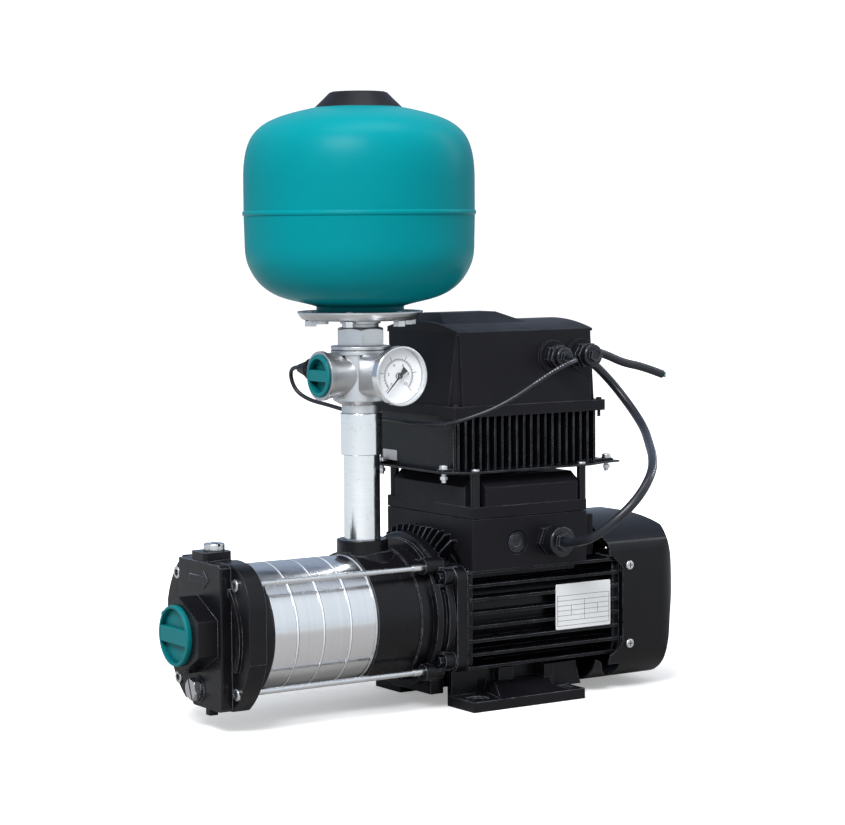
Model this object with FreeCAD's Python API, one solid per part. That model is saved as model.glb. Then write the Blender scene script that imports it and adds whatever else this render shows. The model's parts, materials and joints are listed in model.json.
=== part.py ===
import FreeCAD, Part
import math, os
from FreeCAD import Vector as V

# Booster pump station: horizontal multistage pump, fan-cooled motor, frequency
# drive on top of the terminal box, riser with a five-way cross, gauge, sensor
# and a small membrane pressure tank.
# Modelled with X = 0 on the riser axis, Y = 0 on the shaft plane, Z = 0 on the
# floor, then shifted by OX so that the origin is the centre of the foot bolt
# pattern on the floor plane.  +X runs from the pump inlet to the fan end.

# ---------------------------------------------------------------- dimensions
OX = -129.5            # riser frame -> origin at the foot bolt pattern centre
H = 85.5               # shaft height above the floor
TIE_Y, TIE_Z = 53.7, 47.9      # tie bolt pattern, half spacings
TIE_D = 5.4            # tie bolt shank diameter
X_CAP = -198.0         # front of the inlet plug
X_BOSS = -193.0        # front of the hexagonal inlet boss
X_PLATE = -173.5       # front face of the raised inlet plate
X_FLG0, X_FLG1 = -163.0, -146.0   # inlet cover flange
X_ST = [-126.7, -102.8, -75.7, -47.5, -20.4]   # stage casing joints
R_BARREL = 57.7        # outer radius of the stage casings
X_OUT1 = 37.3          # rear face of the outlet casing
X_BR1 = 64.0           # rear face of the drive-end bracket
X_FR1 = 241.5          # rear face of the motor frame
FIN_Y = 73.0           # reach of the motor's side fins
FIN_Z0, FIN_P, FIN_N = 38.2, 12.72, 8
FOOT_X0, FOOT_X1 = 66.0, 193.0
FOOT_Y0, FOOT_Y1 = 43.0, 85.0
FOOT_T = 9.7
HOLE_SX, HOLE_SY, HOLE_R = 96.0, 136.0, 5.0    # foot bolt pattern
BOX_X0, BOX_X1, BOX_Y = 73.5, 204.2, 73.2      # terminal box
BOX_Z0, BOX_Z1 = 128.4, 176.4
LID_Z1, LID_Z2, LID_Z3 = 187.0, 206.0, 213.5
POST_X = (79.8, 200.8)
POST_Y = 68.4
PLATE_Z0, PLATE_Z1 = 218.2, 220.0
HS_X0, HS_X1, HS_Y, HS_YF = 61.5, 230.0, 60.0, 65.0         # drive heatsink
HS_Z1 = 269.0
CV_Z0, CV_Z1 = 279.0, 347.0                    # drive cover walls
RISER_R, RISER_T = 16.85, 2.6
SLEEVE_R = 19.3
CROSS_Z = 309.3        # axis height of the horizontal cross ports
TANK_R = 105.6         # tank shell radius
BEAD_R, BEAD_Z = 107.0, 457.0
TANK_Z0, TANK_Z1 = 370.0, 552.0

X = V(1, 0, 0); Y = V(0, 1, 0); Z = V(0, 0, 1)
out = {}


# ------------------------------------------------------------------- helpers
def box(x0, x1, y0, y1, z0, z1):
    return Part.makeBox(x1 - x0, y1 - y0, z1 - z0, V(x0, y0, z0))

def cx(r, x0, x1, y=0.0, z=H):
    return Part.makeCylinder(r, x1 - x0, V(x0, y, z), X)

def cy(r, y0, y1, x=0.0, z=0.0):
    return Part.makeCylinder(r, y1 - y0, V(x, y0, z), Y)

def cz(r, z0, z1, x=0.0, y=0.0):
    return Part.makeCylinder(r, z1 - z0, V(x, y, z0), Z)

def ring(a, b):
    return a.cut(b)

def prism(pts, d):
    w = Part.makePolygon([V(*p) for p in pts] + [V(*pts[0])])
    return Part.Face(w).extrude(V(*d))

def hexx(r, x0, x1, y, z, rot=0.0, n=6):
    return prism([(x0, y + r * math.cos(math.radians(rot + 360.0 * i / n)), z + r * math.sin(math.radians(rot + 360.0 * i / n))) for i in range(n)], (x1 - x0, 0, 0))

def hexy(r, y0, y1, x, z, rot=0.0, n=6):
    return prism([(x + r * math.cos(math.radians(rot + 360.0 * i / n)), y0, z + r * math.sin(math.radians(rot + 360.0 * i / n))) for i in range(n)], (0, y1 - y0, 0))

def hexz(r, z0, z1, x, y, rot=0.0, n=6):
    return prism([(x + r * math.cos(math.radians(rot + 360.0 * i / n)), y + r * math.sin(math.radians(rot + 360.0 * i / n)), z0) for i in range(n)], (0, 0, z1 - z0))

def fuse(shapes):
    s = shapes[0]
    if len(shapes) > 1:
        s = s.multiFuse(shapes[1:])
    return s.removeSplitter()

def fil(s, r, pick, chamfer=False):
    """Round (or chamfer) the picked edges; keep the sharp shape if that fails."""
    es = [e for e in s.Edges if pick(e)]
    if not es:
        return s
    try:
        t = s.makeChamfer(r, es) if chamfer else s.makeFillet(r, es)
        if t.isValid() and len(t.Solids) == len(s.Solids) and t.Volume > 0.5 * s.Volume:
            return t
    except Exception:
        pass
    return s

def mid(e):
    return e.valueAt((e.FirstParameter + e.LastParameter) / 2.0)

def rrect(hw, hh, r, x0, x1, y=0.0, z=H):
    """Rounded rectangle in YZ, extruded along X."""
    s = box(x0, x1, y - hw, y + hw, z - hh, z + hh)
    es = [e for e in s.Edges if abs(e.tangentAt(e.FirstParameter).x) > 0.99]
    return s.makeFillet(r, es)

def rrectz(x0, x1, y0, y1, r, z0, z1):
    s = box(x0, x1, y0, y1, z0, z1)
    es = [e for e in s.Edges if abs(e.tangentAt(e.FirstParameter).z) > 0.99]
    return s.makeFillet(r, es)

def frustum(a, za, b, zb):
    """Solid between two axis-parallel rectangles (x0, x1, y0, y1)."""
    def w(q, z):
        return Part.makePolygon([V(q[0], q[2], z), V(q[1], q[2], z), V(q[1], q[3], z), V(q[0], q[3], z), V(q[0], q[2], z)])
    return Part.makeLoft([w(a, za), w(b, zb)], True, True)

def revolve(pts, axis_pt, axis):
    w = Part.makePolygon([V(*p) for p in pts] + [V(*pts[0])])
    return Part.Face(w).revolve(V(*axis_pt), V(*axis), 360)

def put(name, shape):
    solids = shape.Solids
    if not solids:
        raise RuntimeError(name + ": no solid")
    s = solids[0] if len(solids) == 1 else Part.makeCompound(solids)
    out[name] = s

def fillet_poly(pts, f=0.45):
    """Straight runs joined by tangent arcs through a list of route points."""
    P = [V(*p) for p in pts]
    edges, radii, cur = [], [], P[0]
    for i in range(1, len(P) - 1):
        a, b = P[i - 1] - P[i], P[i + 1] - P[i]
        run = min(a.Length, b.Length)
        a.normalize(); b.normalize()
        turn = math.pi - a.getAngle(b)
        r = f * run / math.tan(turn / 2.0)
        t = f * run
        p0, p1 = P[i] + a * t, P[i] + b * t
        bis = a + b; bis.normalize()
        m = P[i] + bis * (r / math.cos(turn / 2.0) - r)
        if (p0 - cur).Length > 1e-4:
            edges.append(Part.LineSegment(cur, p0).toShape())
        edges.append(Part.Arc(p0, m, p1).toShape())
        radii.append(r); cur = p1
    edges.append(Part.LineSegment(cur, P[-1]).toShape())
    return Part.Wire(edges), radii

def tube(name, pts, d, limp=False):
    w, radii = fillet_poly(pts)
    t0 = (V(*pts[1]) - V(*pts[0])).normalize()
    prof = Part.Wire([Part.makeCircle(d / 2.0, V(*pts[0]), t0)])
    s = w.makePipeShell([prof], True, False, 0)
    L = w.Length
    print("%s length %.1f radii %s (min %.1f d) volume ratio %.4f" % (name, L, " ".join("%.0f" % r for r in radii), min(radii) / d, s.Volume / (L * math.pi * d * d / 4)))
    return s


# ------------------------------------------------------------ pump: inlet end
# Cast inlet cover: rounded-square flange, raised upright plate, hexagonal port
# boss, vent boss on top, drain boss below, short round skirt to the barrel.
c = rrect(76.5, 65.4, 38.0, X_FLG0, X_FLG1)
c = c.common(fuse([cx(79.3, X_FLG0 - 1, X_FLG1 + 1), box(X_FLG0 - 1, X_FLG1 + 1, -80, 0, H - 20, H + 80)]))
c = c.common(fuse([cx(78.4, X_FLG0 - 1, X_FLG1 + 1), box(X_FLG0 - 1, X_FLG1 + 1, -80, 80, H - 20, H + 80)]))
c = fil(c, 1.0, lambda e: abs(mid(e).x - X_FLG0) < 0.01)
plate = box(X_PLATE, X_FLG0 + 1, -44.5, 34, 17.0, 150.3).common(cx(76.6, X_PLATE - 1, X_FLG0 + 2)).common(rrect(76.0, 64.9, 37.5, X_PLATE - 1, X_FLG0 + 2))
plate = plate.cut(prism([(X_PLATE - 2, 40, 45), (X_PLATE - 2, 40, 10), (X_PLATE - 2, 2, 10), (X_PLATE - 2, 2, 15), (X_PLATE - 2, 34, 45)], (20, 0, 0)))
plate = fil(plate, 1.6, lambda e: abs(e.tangentAt(e.FirstParameter).z) > 0.99 and abs(mid(e).x - X_PLATE) < 0.01)
boss = prism([(X_BOSS, -2.0, H + 34.8), (X_BOSS, -38.4, H + 16.2), (X_BOSS, -38.4, H - 15.2), (X_BOSS, -2.0, H - 34.8), (X_BOSS, 31.5, H - 17.0), (X_BOSS, 31.5, H + 17.0)], (X_PLATE + 2 - X_BOSS, 0, 0))
boss = fil(boss, 1.5, lambda e: abs(e.tangentAt(e.FirstParameter).x) > 0.99)
boss = fil(boss, 0.9, lambda e: abs(mid(e).x - X_BOSS) < 0.01)
skirt = cx(62.0, X_FLG1 - 1, -130.0)
skirt = fuse([skirt, Part.makeCone(67.0, 62.0, 7.0, V(X_FLG1 - 1, 0, H), X)])
vent = rrectz(-172.0, -144.0, -13.5, 13.5, 4.0, 136.0, 158.4)
pad = cx(12.6, -174.6, X_PLATE + 1, 0, 36.0)
lug = rrectz(-163.8, -155.2, -4.6, 4.6, 1.6, 11.0, 24.0)
crescent = ring(cx(64.2, X_FLG0 - 3.2, X_FLG0 + 1), cx(58.8, X_FLG0 - 4, X_FLG0 + 2)).common(box(-171, X_FLG0 + 2, -66, -40, H - 28, H + 44))
crescent = fil(crescent, 1.2, lambda e: abs(mid(e).x - (X_FLG0 - 3.2)) < 0.01)
arrow = prism([(X_PLATE - 0.8, 12, 132.0), (X_PLATE - 0.8, 12, 138.0), (X_PLATE - 0.8, -14, 138.0), (X_PLATE - 0.8, -14, 143.0), (X_PLATE - 0.8, -23.5, 135.0), (X_PLATE - 0.8, -14, 127.0), (X_PLATE - 0.8, -14, 132.0)], (1.3, 0, 0))
c = fuse([c, plate, boss, skirt, vent, pad, lug, crescent, arrow])
c = c.cut(cx(49.0, -158.0, -100))                            # suction chamber
c = c.cut(cx(20.0, X_BOSS - 1, -157.0))                     # port bore
c = c.cut(cx(R_BARREL + 0.05, X_ST[0] - 6.0, -100))           # socket for the first casing
c = c.cut(cz(6.6, 130.0, 160.0, -155.2, 0))                 # priming hole
c = c.cut(cx(7.0, -176.0, -160.0, 0, 36.0)).cut(box(-160.5, -157.0, -4, 4, 34.0, 39.0))   # drain hole into the chamber
for sy in (-1, 1):
    for sz in (-1, 1):
        c = c.cut(cx(TIE_D / 2 + 0.3, -170, -120, sy * TIE_Y, H + sz * TIE_Z))
        c = c.cut(cx(6.0, -170, -159.5, sy * TIE_Y, H + sz * TIE_Z))
put("inlet_cover", c)

# Teal screw plug that closes the suction port: rim, grip bar, threaded spigot.
def plug(xf, r, bar, depth, spig_r, spig_len, z, flange_r, gasket_r=None):
    """Plug facing -X with its front rim at xf."""
    body = cx(r, xf, xf + 6.2, 0, z)
    body = fil(body, 1.2, lambda e: abs(mid(e).x - xf) < 0.01)
    rr = r - 2.8 if depth < 6.0 else min(r - 2.8, spig_r - 0.8)
    grip = box(xf + 0.3, xf + depth + 0.2, -r, r, z - bar / 2, z + bar / 2).common(cx(rr + 1.0, xf - 1, xf + depth + 1, 0, z))
    grip = fil(grip, 0.8, lambda e: abs(mid(e).x - (xf + 0.3)) < 0.01 and abs(e.tangentAt(e.FirstParameter).y) > 0.99)
    body = fuse([body, cx(flange_r, xf + 3.4, xf + 4.95, 0, z), cx(spig_r, xf + 4.5, xf + spig_len, 0, z)])
    body = body.cut(cx(rr, xf - 1, xf + depth, 0, z)).cut(cx(spig_r - 3.0, xf + depth + 1.8, xf + spig_len + 1, 0, z))
    return fuse([body, grip])
put("inlet_plug", plug(X_CAP, 27.2, 14.5, 4.6, 19.9, 20.0, H, 27.2).cut(ring(cx(40, X_BOSS - 0.05, X_BOSS + 1.4), cx(19.9, X_BOSS - 1, X_BOSS + 2))))

# Zinc priming plug with a slot, a hexagon-washer head and a sealing washer.
p = fuse([cz(9.6, 159.2, 165.0, -155.2, 0), cz(6.5, 146.0, 160.0, -155.2, 0)])
p = fil(p, 1.6, lambda e: abs(mid(e).z - 165.0) < 0.01)
p = p.cut(box(-156.3, -154.1, -12, 12, 162.4, 167))
for i in range(6):
    a = math.radians(60 * i + 30)
    p = p.cut(cz(1.5, 158.0, 167, -155.2 + 10.5 * math.cos(a), 10.5 * math.sin(a)))
put("priming_plug", Part.makeCompound([p, ring(cz(9.0, 158.4, 159.2, -155.2, 0), cz(6.55, 158.0, 160, -155.2, 0))]))
# Slotted hexagon drain plug facing forward at the foot of the cover.
p = fuse([hexx(10.4, -181.4, -175.4, 0, 36.0, 14), cx(6.9, -176.6, -165.0, 0, 36.0)])
p = p.common(fuse([Part.makeCone(9.2, 10.7, 1.6, V(-181.4, 0, 36.0), X), cx(10.7, -179.8, -160, 0, 36.0)]))
slot = box(-182.4, -179.4, -1.1, 1.1, 36.0 - 14, 36.0 + 14); slot.rotate(V(-180, 0, 36.0), X, -20)
put("drain_plug", Part.makeCompound([p.cut(slot), ring(cx(9.4, -175.4, -174.6, 0, 36.0), cx(6.95, -177, -174, 0, 36.0))]))

# ---------------------------------------------------------- pump: the stages
cas, dif, imp, ors = [], [], [], []
for i in range(4):
    a, b = X_ST[i], X_ST[i + 1]
    s = ring(cx(R_BARREL, a + 0.15, b - 0.15), cx(R_BARREL - 1.6, a - 1, b - 1.5))
    s = s.cut(cx(40.0, b - 4, b + 1))
    s = fuse([s, ring(cx(R_BARREL + 0.45, b - 1.7, b - 0.15), cx(R_BARREL - 1.0, b - 3, b + 1))])
    cas.append(s)
    d = ring(cx(R_BARREL - 1.7, b - 7.0, b - 1.6), cx(17.0, b - 9, b))
    for k in range(6):
        v = box(b - 10.5, b - 6.5, 46.5, 55.5, H - 1.2, H + 1.2)
        v.rotate(V(0, 0, H), X, 60 * k)
        d = d.fuse(v)
    dif.append(d.removeSplitter())
    w0 = a + 4.0 if i else a + 2.0
    im = fuse([ring(cx(43.0, w0, w0 + 1.6), cx(15.0, w0 - 1, w0 + 3)), cx(43.0, w0 + 8.4, w0 + 10.0), cx(10.5, w0 + 1.0, b - 1.8 - 0.0), ring(cx(16.8, w0 - 3.0, w0 + 1.6), cx(15.0, w0 - 4, w0 + 3))])
    for k in range(6):
        v = box(w0 + 1.2, w0 + 8.8, 15.5, 42.0, H - 0.8, H + 0.8)
        v.rotate(V(0, 15, H), X, 25)
        v.rotate(V(0, 0, H), X, 60 * k)
        im = im.fuse(v)
    imp.append(im.removeSplitter().cut(cx(6.03, -200, 60)))
for x in X_ST:
    ors.append(Part.makeTorus(R_BARREL - 2.6, 0.9, V(x + 1.2, 0, H), X))
put("stage_casings", Part.makeCompound(cas))
put("diffusers", Part.makeCompound(dif))
imp.append(ring(hexx(9.5, -134.5, -127.2, 0, H, 0), cx(6.02, -136, -120)))  # nut on the shaft end
put("impellers", Part.makeCompound(imp))
put("casing_orings", Part.makeCompound(ors))

# ------------------------------------------------------- pump: outlet casing
# Black casting between the last stage and the bracket; the discharge socket
# for the riser stands on a collecting chamber that swells out of its top.
c = fuse([cx(60.8, X_ST[4], 27.0), cx(62.8, 25.0, X_OUT1)])
c = fil(c, 1.5, lambda e: abs(mid(e).x - 25.0) < 0.01)
col = Part.makeCone(31.0, 23.8, 9.0, V(4, 0, 137.5), Z).common(box(X_ST[4], 40, -40, 40, 100, 160))
col2 = Part.makeCylinder(31.0, 14.0, V(4, 0, 124), Z).common(box(X_ST[4], 40, -40, 40, 100, 160))
c = fuse([c, col, col2, cz(23.8, 120.0, 157.5)])
c = fil(c, 1.2, lambda e: abs(mid(e).z - 157.5) < 0.01)
c = c.cut(ring(cx(80, X_ST[4] - 20, X_ST[4]), cz(23.8, 147.0, 158)))
c = c.cut(cx(49.0, X_ST[4] - 1, 16.0)).cut(cx(R_BARREL + 0.05, X_ST[4] - 1, X_ST[4] + 0.0))
c = c.cut(ring(cx(R_BARREL - 1.5, X_ST[4] - 1, X_ST[4] + 2.2), cx(R_BARREL - 3.7, X_ST[4] - 2, X_ST[4] + 3)))     # seal groove
c = c.cut(cz(12.5, 100.0, 160.0)).cut(cz(RISER_R, 139.0, 160.0))
c = c.cut(cx(14.0, 10.0, 40.0))
put("outlet_casing", c)

# Four long socket screws clamp cover, stages and outlet casing to the bracket.
tb = []
for sy in (-1, 1):
    for sz in (-1, 1):
        y, z = sy * TIE_Y, H + sz * TIE_Z
        b = fuse([cx(5.6, -165.3, -159.5, y, z), cx(TIE_D / 2, -160.0, 48.0, y, z), cx(3.4, 19.0, 44.0, y, z)])
        b = fil(b, 0.7, lambda e: abs(mid(e).x + 165.3) < 0.01)
        b = b.cut(hexx(3.5, -166, -161.2, y, z, 12))
        tb += [b]
put("tie_bolts", Part.makeCompound(tb))

# ------------------------------------------------- bracket between pump/motor
b = fuse([cx(69.5, X_OUT1, 43.5), cx(65.0, 42.0, 52.0), cx(70.0, 50.0, 57.0), cx(66.5, 56.0, X_BR1)])
arch = ring(cx(75.0, 41.0, 53.0), cx(60.0, 40.0, 54.0)).common(box(40, 54, -62, 62, H + 32, H + 80))
arch = fil(arch, 4.0, lambda e: abs(e.Length - math.radians(1)) > 1 and abs((mid(e) - V(mid(e).x, 0, H)).Length - 75.0) < 0.05)
CORNERS = [(sy, sz, sy * TIE_Y, H + sz * TIE_Z) for sy in (-1, 1) for sz in (-1, 1)]
lg = [cx(7.6, 30.5, 50.0, y, z + sz * 1.1) for sy, sz, y, z in CORNERS]
lg += [cx(8.0, 47.0, X_BR1, sy * 60.0, H + sz * 38.8) for sy, sz, y, z in CORNERS]
lg += [box(44.0, X_BR1, min(sy * 46, sy * 62), max(sy * 46, sy * 62), min(z - sz * 18, z), max(z - sz * 18, z)) for sy, sz, y, z in CORNERS]
lg += [box(31.5, 50.0, min(sy * 40, sy * 53), max(sy * 40, sy * 53), z - 6.5, z + 6.5).cut(cx(62.9, 24, X_OUT1)) for sy, sz, y, z in CORNERS]
flr = rrect(70.5, 49.0, 12.0, 58.0, X_BR1 + 5.5, 0, H - 1.5)
b = fuse([fuse([b, flr]), arch, box(52.0, 66.0, -34, 34, 11.0, 32.0)])
for q in lg:
    b = fuse([b, q])
ribs = []
for k in range(13):
    t = math.radians(43.0 + 7.0 * k)
    ro = (abs(math.cos(t) / 72.0) ** 3.6 + abs(math.sin(t) / 79.0) ** 3.6) ** (-1 / 3.6)
    d = V(0, math.cos(t), math.sin(t))
    n = V(0, -math.sin(t), math.cos(t)) * 0.8
    o = V(0, 0, H)
    pts = [V(56.4, 0, 0) + o + d * 61 - n, V(56.4, 0, 0) + o + d * (ro - 12.3) - n, V(62.5, 0, 0) + o + d * ro - n, V(69.0, 0, 0) + o + d * ro - n, V(69.0, 0, 0) + o + d * 61 - n]
    ribs.append(Part.Face(Part.makePolygon(pts + [pts[0]])).extrude(n * 2))
b = fuse([b] + ribs)
b = b.cut(cx(40.0, 34, 48)).cut(cx(15.0, 34, 75)).cut(cx(20.0, 52.0, 75))
for sy in (-1, 1):
    for sz in (-1, 1):
        b = b.cut(cx(3.4, 30, 48.0, sy * TIE_Y, H + sz * TIE_Z))
        b = b.cut(cx(3.3, 40, 80, sy * 60.0, H + sz * 38.8)).cut(cx(6.4, 40, 47.0, sy * 60.0, H + sz * 38.8))
put("drive_end_bracket", b)
bb = []
for sy in (-1, 1):
    for sz in (-1, 1):
        y, z = sy * 60.0, H + sz * 38.8
        s = fuse([hexx(4.7, 43.4, 47.0, y, z, 10), cx(3.25, 45.0, 76.0, y, z)])
        bb.append(s)
put("bracket_bolts", Part.makeCompound(bb))

# ------------------------------------------------------------ rotating group
sh = fuse([cx(6.0, -135.0, 22.0), cx(7.5, 22.0, 58.0), cx(8.5, 58.0, 232.0), cx(7.0, 232.0, 276.0), cx(10.0, 74.0, 214.0)])
put("shaft", sh)
rc = ring(cx(34.0, 106.0, 192.0), cx(10.02, 100, 200))
put("rotor_core", rc)
bo, bi = [], []
for x0 in (58.5, 220.5):
    bo.append(ring(cx(19.9, x0, x0 + 11.0), cx(16.6, x0 - 1, x0 + 12)))
    bi.append(ring(cx(12.0, x0, x0 + 11.0), cx(8.52, x0 - 1, x0 + 12)))
    for k in range(8):
        t = math.radians(45 * k)
        bi.append(Part.makeSphere(2.2, V(x0 + 5.5, 14.3 * math.cos(t), H + 14.3 * math.sin(t))))
put("bearing_outer_rings", Part.makeCompound(bo))
put("bearing_inner_rings", Part.makeCompound(bi))
seat = ring(cx(13.9, 24.5, 31.0), cx(8.2, 20, 40))
put("seal_seat", seat)
rot = ring(cx(12.2, 17.0, 24.4), cx(7.55 - 1.5, 10, 30))
rot = ring(cx(12.2, 18.0, 24.4), cx(7.6, 10, 30))
spr = []
for k in range(4):
    spr.append(Part.makeTorus(10.0, 0.8, V(10.2 + 2.0 * k, 0, H), X))
collar = ring(cx(12.0, 6.0, 8.8), cx(6.05, 0, 30))
put("seal_rotary", Part.makeCompound([rot.cut(cx(7.6, 0, 40)), collar] + spr))
hub = ring(cx(11.0, 252.0, 274.0), cx(7.03, 240, 290))
fan = fuse([hub, ring(cx(56.0, 254.0, 256.0), cx(10.0, 240, 290))])
for k in range(7):
    bl = box(255.5, 273.0, 12.0, 56.0, H - 0.9, H + 0.9)
    bl.rotate(V(0, 0, H), X, 360.0 / 7 * k)
    fan = fan.fuse(bl)
put("cooling_fan", fan.removeSplitter())

# ---------------------------------------------------------------- motor body
fr = ring(cx(62.5, X_BR1 + 5.5, X_FR1), cx(56.0, 60, 250))
parts = [fr]
for k in range(FIN_N):
    z = FIN_Z0 + FIN_P * k
    yi = math.sqrt(max(60.0 ** 2 - (z - H) ** 2, 0))
    for s in (-1, 1):
        y1 = FIN_Y if k else FIN_Y - 3.5
        f = prism([(71.0, s * (yi - 1), z - 2.6), (71.0, s * (yi - 1), z + 2.6), (71.0, s * y1, z + 1.35), (71.0, s * y1, z - 1.35)], (X_FR1 - 0.5 - 71.0, 0, 0))
        parts.append(f)
endr = rrect(70.5, 49.0, 12.0, X_BR1 + 5.5, 74.5, 0, H - 1.5)
endr2 = rrect(70.5, 49.0, 12.0, X_FR1 - 6.0, X_FR1, 0, H - 1.5)
parts += [endr, endr2.cut(box(230, 250, -80, 80, 130, 150))]
padtop = box(BOX_X0 + 4, BOX_X1 - 4, -58, 58, 120.0, 150.9)
parts.append(padtop.common(cx(74, 60, 250)))
fr = fuse(parts)
for s in (-1, 1):
    for sz in (-1, 1):
        fr = fr.cut(cx(3.3, 60, 78.0, s * 60.0, H + sz * 38.8))
fr = fr.cut(cx(56.0, 60, 250))
for s in (-1, 1):
    fr = fr.cut(box(BOX_X0 - 0.2, BOX_X1 + 0.2, min(s * 46.5, s * 76), max(s * 46.5, s * 76), BOX_Z0 - 0.05, 133.2))
fr = fr.cut(box(120, 150, -14, 14, 135, 160))                # lead opening to the terminal box
put("motor_frame", fr)
st = ring(cx(56.0, 100.0, 198.0), cx(34.5, 90, 210))
for k in range(24):
    sl = box(99, 199, 34.0, 46.0, H - 1.5, H + 1.5); sl.rotate(V(0, 0, H), X, 15 * k)
    st = st.cut(sl)
put("stator_core", st)
wd = []
for x0, x1 in ((82.0, 99.9), (198.1, 214.0)):
    wd.append(fil(ring(cx(52.0, x0, x1), cx(37.0, x0 - 1, x1 + 1)), 4.0, lambda e: True))
put("stator_windings", Part.makeCompound(wd))
rs = fuse([rrect(72.5, 50.0, 14.0, X_FR1, 247.0, 0, H - 1.5), cx(28.0, 219.0, 247.0), cx(55.9, 237.0, X_FR1 + 0.2)])
rs = rs.cut(cx(8.0 + 1.2, 200, 260)).cut(cx(19.9, 219.0 - 1, 231.5))
put("rear_end_shield", rs)

# Fan hood: flat sides, domed top, rounded rear; side notches clear the fins.
def hood(g, x0, x1):
    hw = 77.0 - g
    zb, zt = 10.0 + g, 167.0 - g
    r = 34.0 - g
    k = r * (1 - math.sqrt(0.5))
    e = [Part.LineSegment(V(x0, -hw + r, zb), V(x0, hw - r, zb)),
         Part.Arc(V(x0, hw - r, zb), V(x0, hw - k, zb + k), V(x0, hw, zb + r)),
         Part.LineSegment(V(x0, hw, zb + r), V(x0, hw, 135.0)),
         Part.Arc(V(x0, hw, 135.0), V(x0, hw - 2.2, 141.4), V(x0, hw - 8.0, 146.0)),
         Part.Arc(V(x0, hw - 8.0, 146.0), V(x0, 0, zt), V(x0, -hw + 8.0, 146.0)),
         Part.Arc(V(x0, -hw + 8.0, 146.0), V(x0, -hw + 2.2, 141.4), V(x0, -hw, 135.0)),
         Part.LineSegment(V(x0, -hw, 135.0), V(x0, -hw, zb + r)),
         Part.Arc(V(x0, -hw, zb + r), V(x0, -hw + k, zb + k), V(x0, -hw + r, zb))]
    return Part.Face(Part.Wire([q.toShape() for q in e])).extrude(V(x1 - x0, 0, 0))
HOOD_X0, HOOD_X1, HOOD_R = 228.0, 315.0, 24.0
def plan(g):
    """Plan outline of the hood with rounded rear corners, extruded upwards."""
    hw, x1, r = 77.0 - g, HOOD_X1 - g, HOOD_R - g
    k = r * (1 - math.sqrt(0.5))
    x0 = HOOD_X0 - (1.0 if g else 0.0)
    e = [Part.LineSegment(V(x0, -hw, 0), V(x1 - r, -hw, 0)), Part.Arc(V(x1 - r, -hw, 0), V(x1 - k, -hw + k, 0), V(x1, -hw + r, 0)),
         Part.LineSegment(V(x1, -hw + r, 0), V(x1, hw - r, 0)), Part.Arc(V(x1, hw - r, 0), V(x1 - k, hw - k, 0), V(x1 - r, hw, 0)),
         Part.LineSegment(V(x1 - r, hw, 0), V(x0, hw, 0)), Part.LineSegment(V(x0, hw, 0), V(x0, -hw, 0))]
    return Part.Face(Part.Wire([q.toShape() for q in e])).extrude(V(0, 0, 200))
REAR = [(298.0, 10.0), (304.2, 13.4), (307.8, 21.5), (311.2, 46.0), (313.6, 70.0), (315.0, 96.0), (314.2, 122.0), (311.6, 142.0), (306.6, 153.4), (298.0, 161.6), (288.0, 165.8), (278.0, 167.0)]
def side(g):
    """Side outline: the rear is slightly domed and rolls over into the roof."""
    q = []
    for i, (x, z) in enumerate(REAR):
        a, b = REAR[max(i - 1, 0)], REAR[min(i + 1, len(REAR) - 1)]
        dx, dz = b[0] - a[0], b[1] - a[1]
        L = math.hypot(dx, dz)
        q.append((x - g * dz / L, z + g * dx / L))
    zb, zt = 10.0 + g, 167.0 - g
    q[0] = (REAR[0][0] - 0.4 * g, zb); q[-1] = (REAR[-1][0], zt)
    x0 = HOOD_X0 - (1.0 if g else 0.0)
    c = Part.BSplineCurve(); c.interpolate([V(x, -90, z) for x, z in q])
    e = [Part.LineSegment(V(x0, -90, zb), V(q[0][0], -90, zb)), c, Part.LineSegment(V(q[-1][0], -90, zt), V(x0, -90, zt)), Part.LineSegment(V(x0, -90, zt), V(x0, -90, zb))]
    return Part.Face(Part.Wire([q_.toShape() for q_ in e])).extrude(V(0, 180, 0))
# The two rear corners taper towards floor and roof: outline seen along a
# horizontal diagonal, distance u from the corner line against height.
CORNER = [(40.0, 169.0), (29.5, 164.5), (15.2, 158.0), (10.5, 154.5), (5.6, 144.5), (2.0, 130.0), (0.4, 110.0), (0.0, 92.0), (2.1, 66.0), (3.6, 46.0), (6.0, 34.0), (9.8, 22.5), (16.0, 14.0), (26.0, 8.0)]
def corner(g, s):
    umax = 296.3
    q = []
    for i, (u, z) in enumerate(CORNER):
        a, b = CORNER[max(i - 1, 0)], CORNER[min(i + 1, len(CORNER) - 1)]
        dx, dz = a[0] - b[0], b[1] - a[1]
        L = math.hypot(dx, dz)
        q.append((umax - u + g * dz / L, z - g * dx / L))
    w, d = V(0.836, s * 0.548, 0), V(0.548, -s * 0.836, 0)
    P3 = lambda u, z: w * u + d * -320.0 + V(0, 0, z)
    c = Part.BSplineCurve(); c.interpolate([P3(u, z) for u, z in q])
    e = [c, Part.LineSegment(P3(*q[-1]), P3(60.0, q[-1][1])), Part.LineSegment(P3(60.0, q[-1][1]), P3(60.0, q[0][1])), Part.LineSegment(P3(60.0, q[0][1]), P3(*q[0]))]
    return Part.Face(Part.Wire([k.toShape() for k in e])).extrude(d * 640.0)
o2 = hood(0.0, HOOD_X0, HOOD_X1).common(plan(0.0)).common(side(0.0)).common(corner(0.0, 1)).common(corner(0.0, -1))
i2 = hood(1.8, HOOD_X0 - 1, HOOD_X1).common(plan(1.8)).common(side(1.8)).common(corner(1.8, 1)).common(corner(1.8, -1))
hd = o2.cut(i2)
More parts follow.
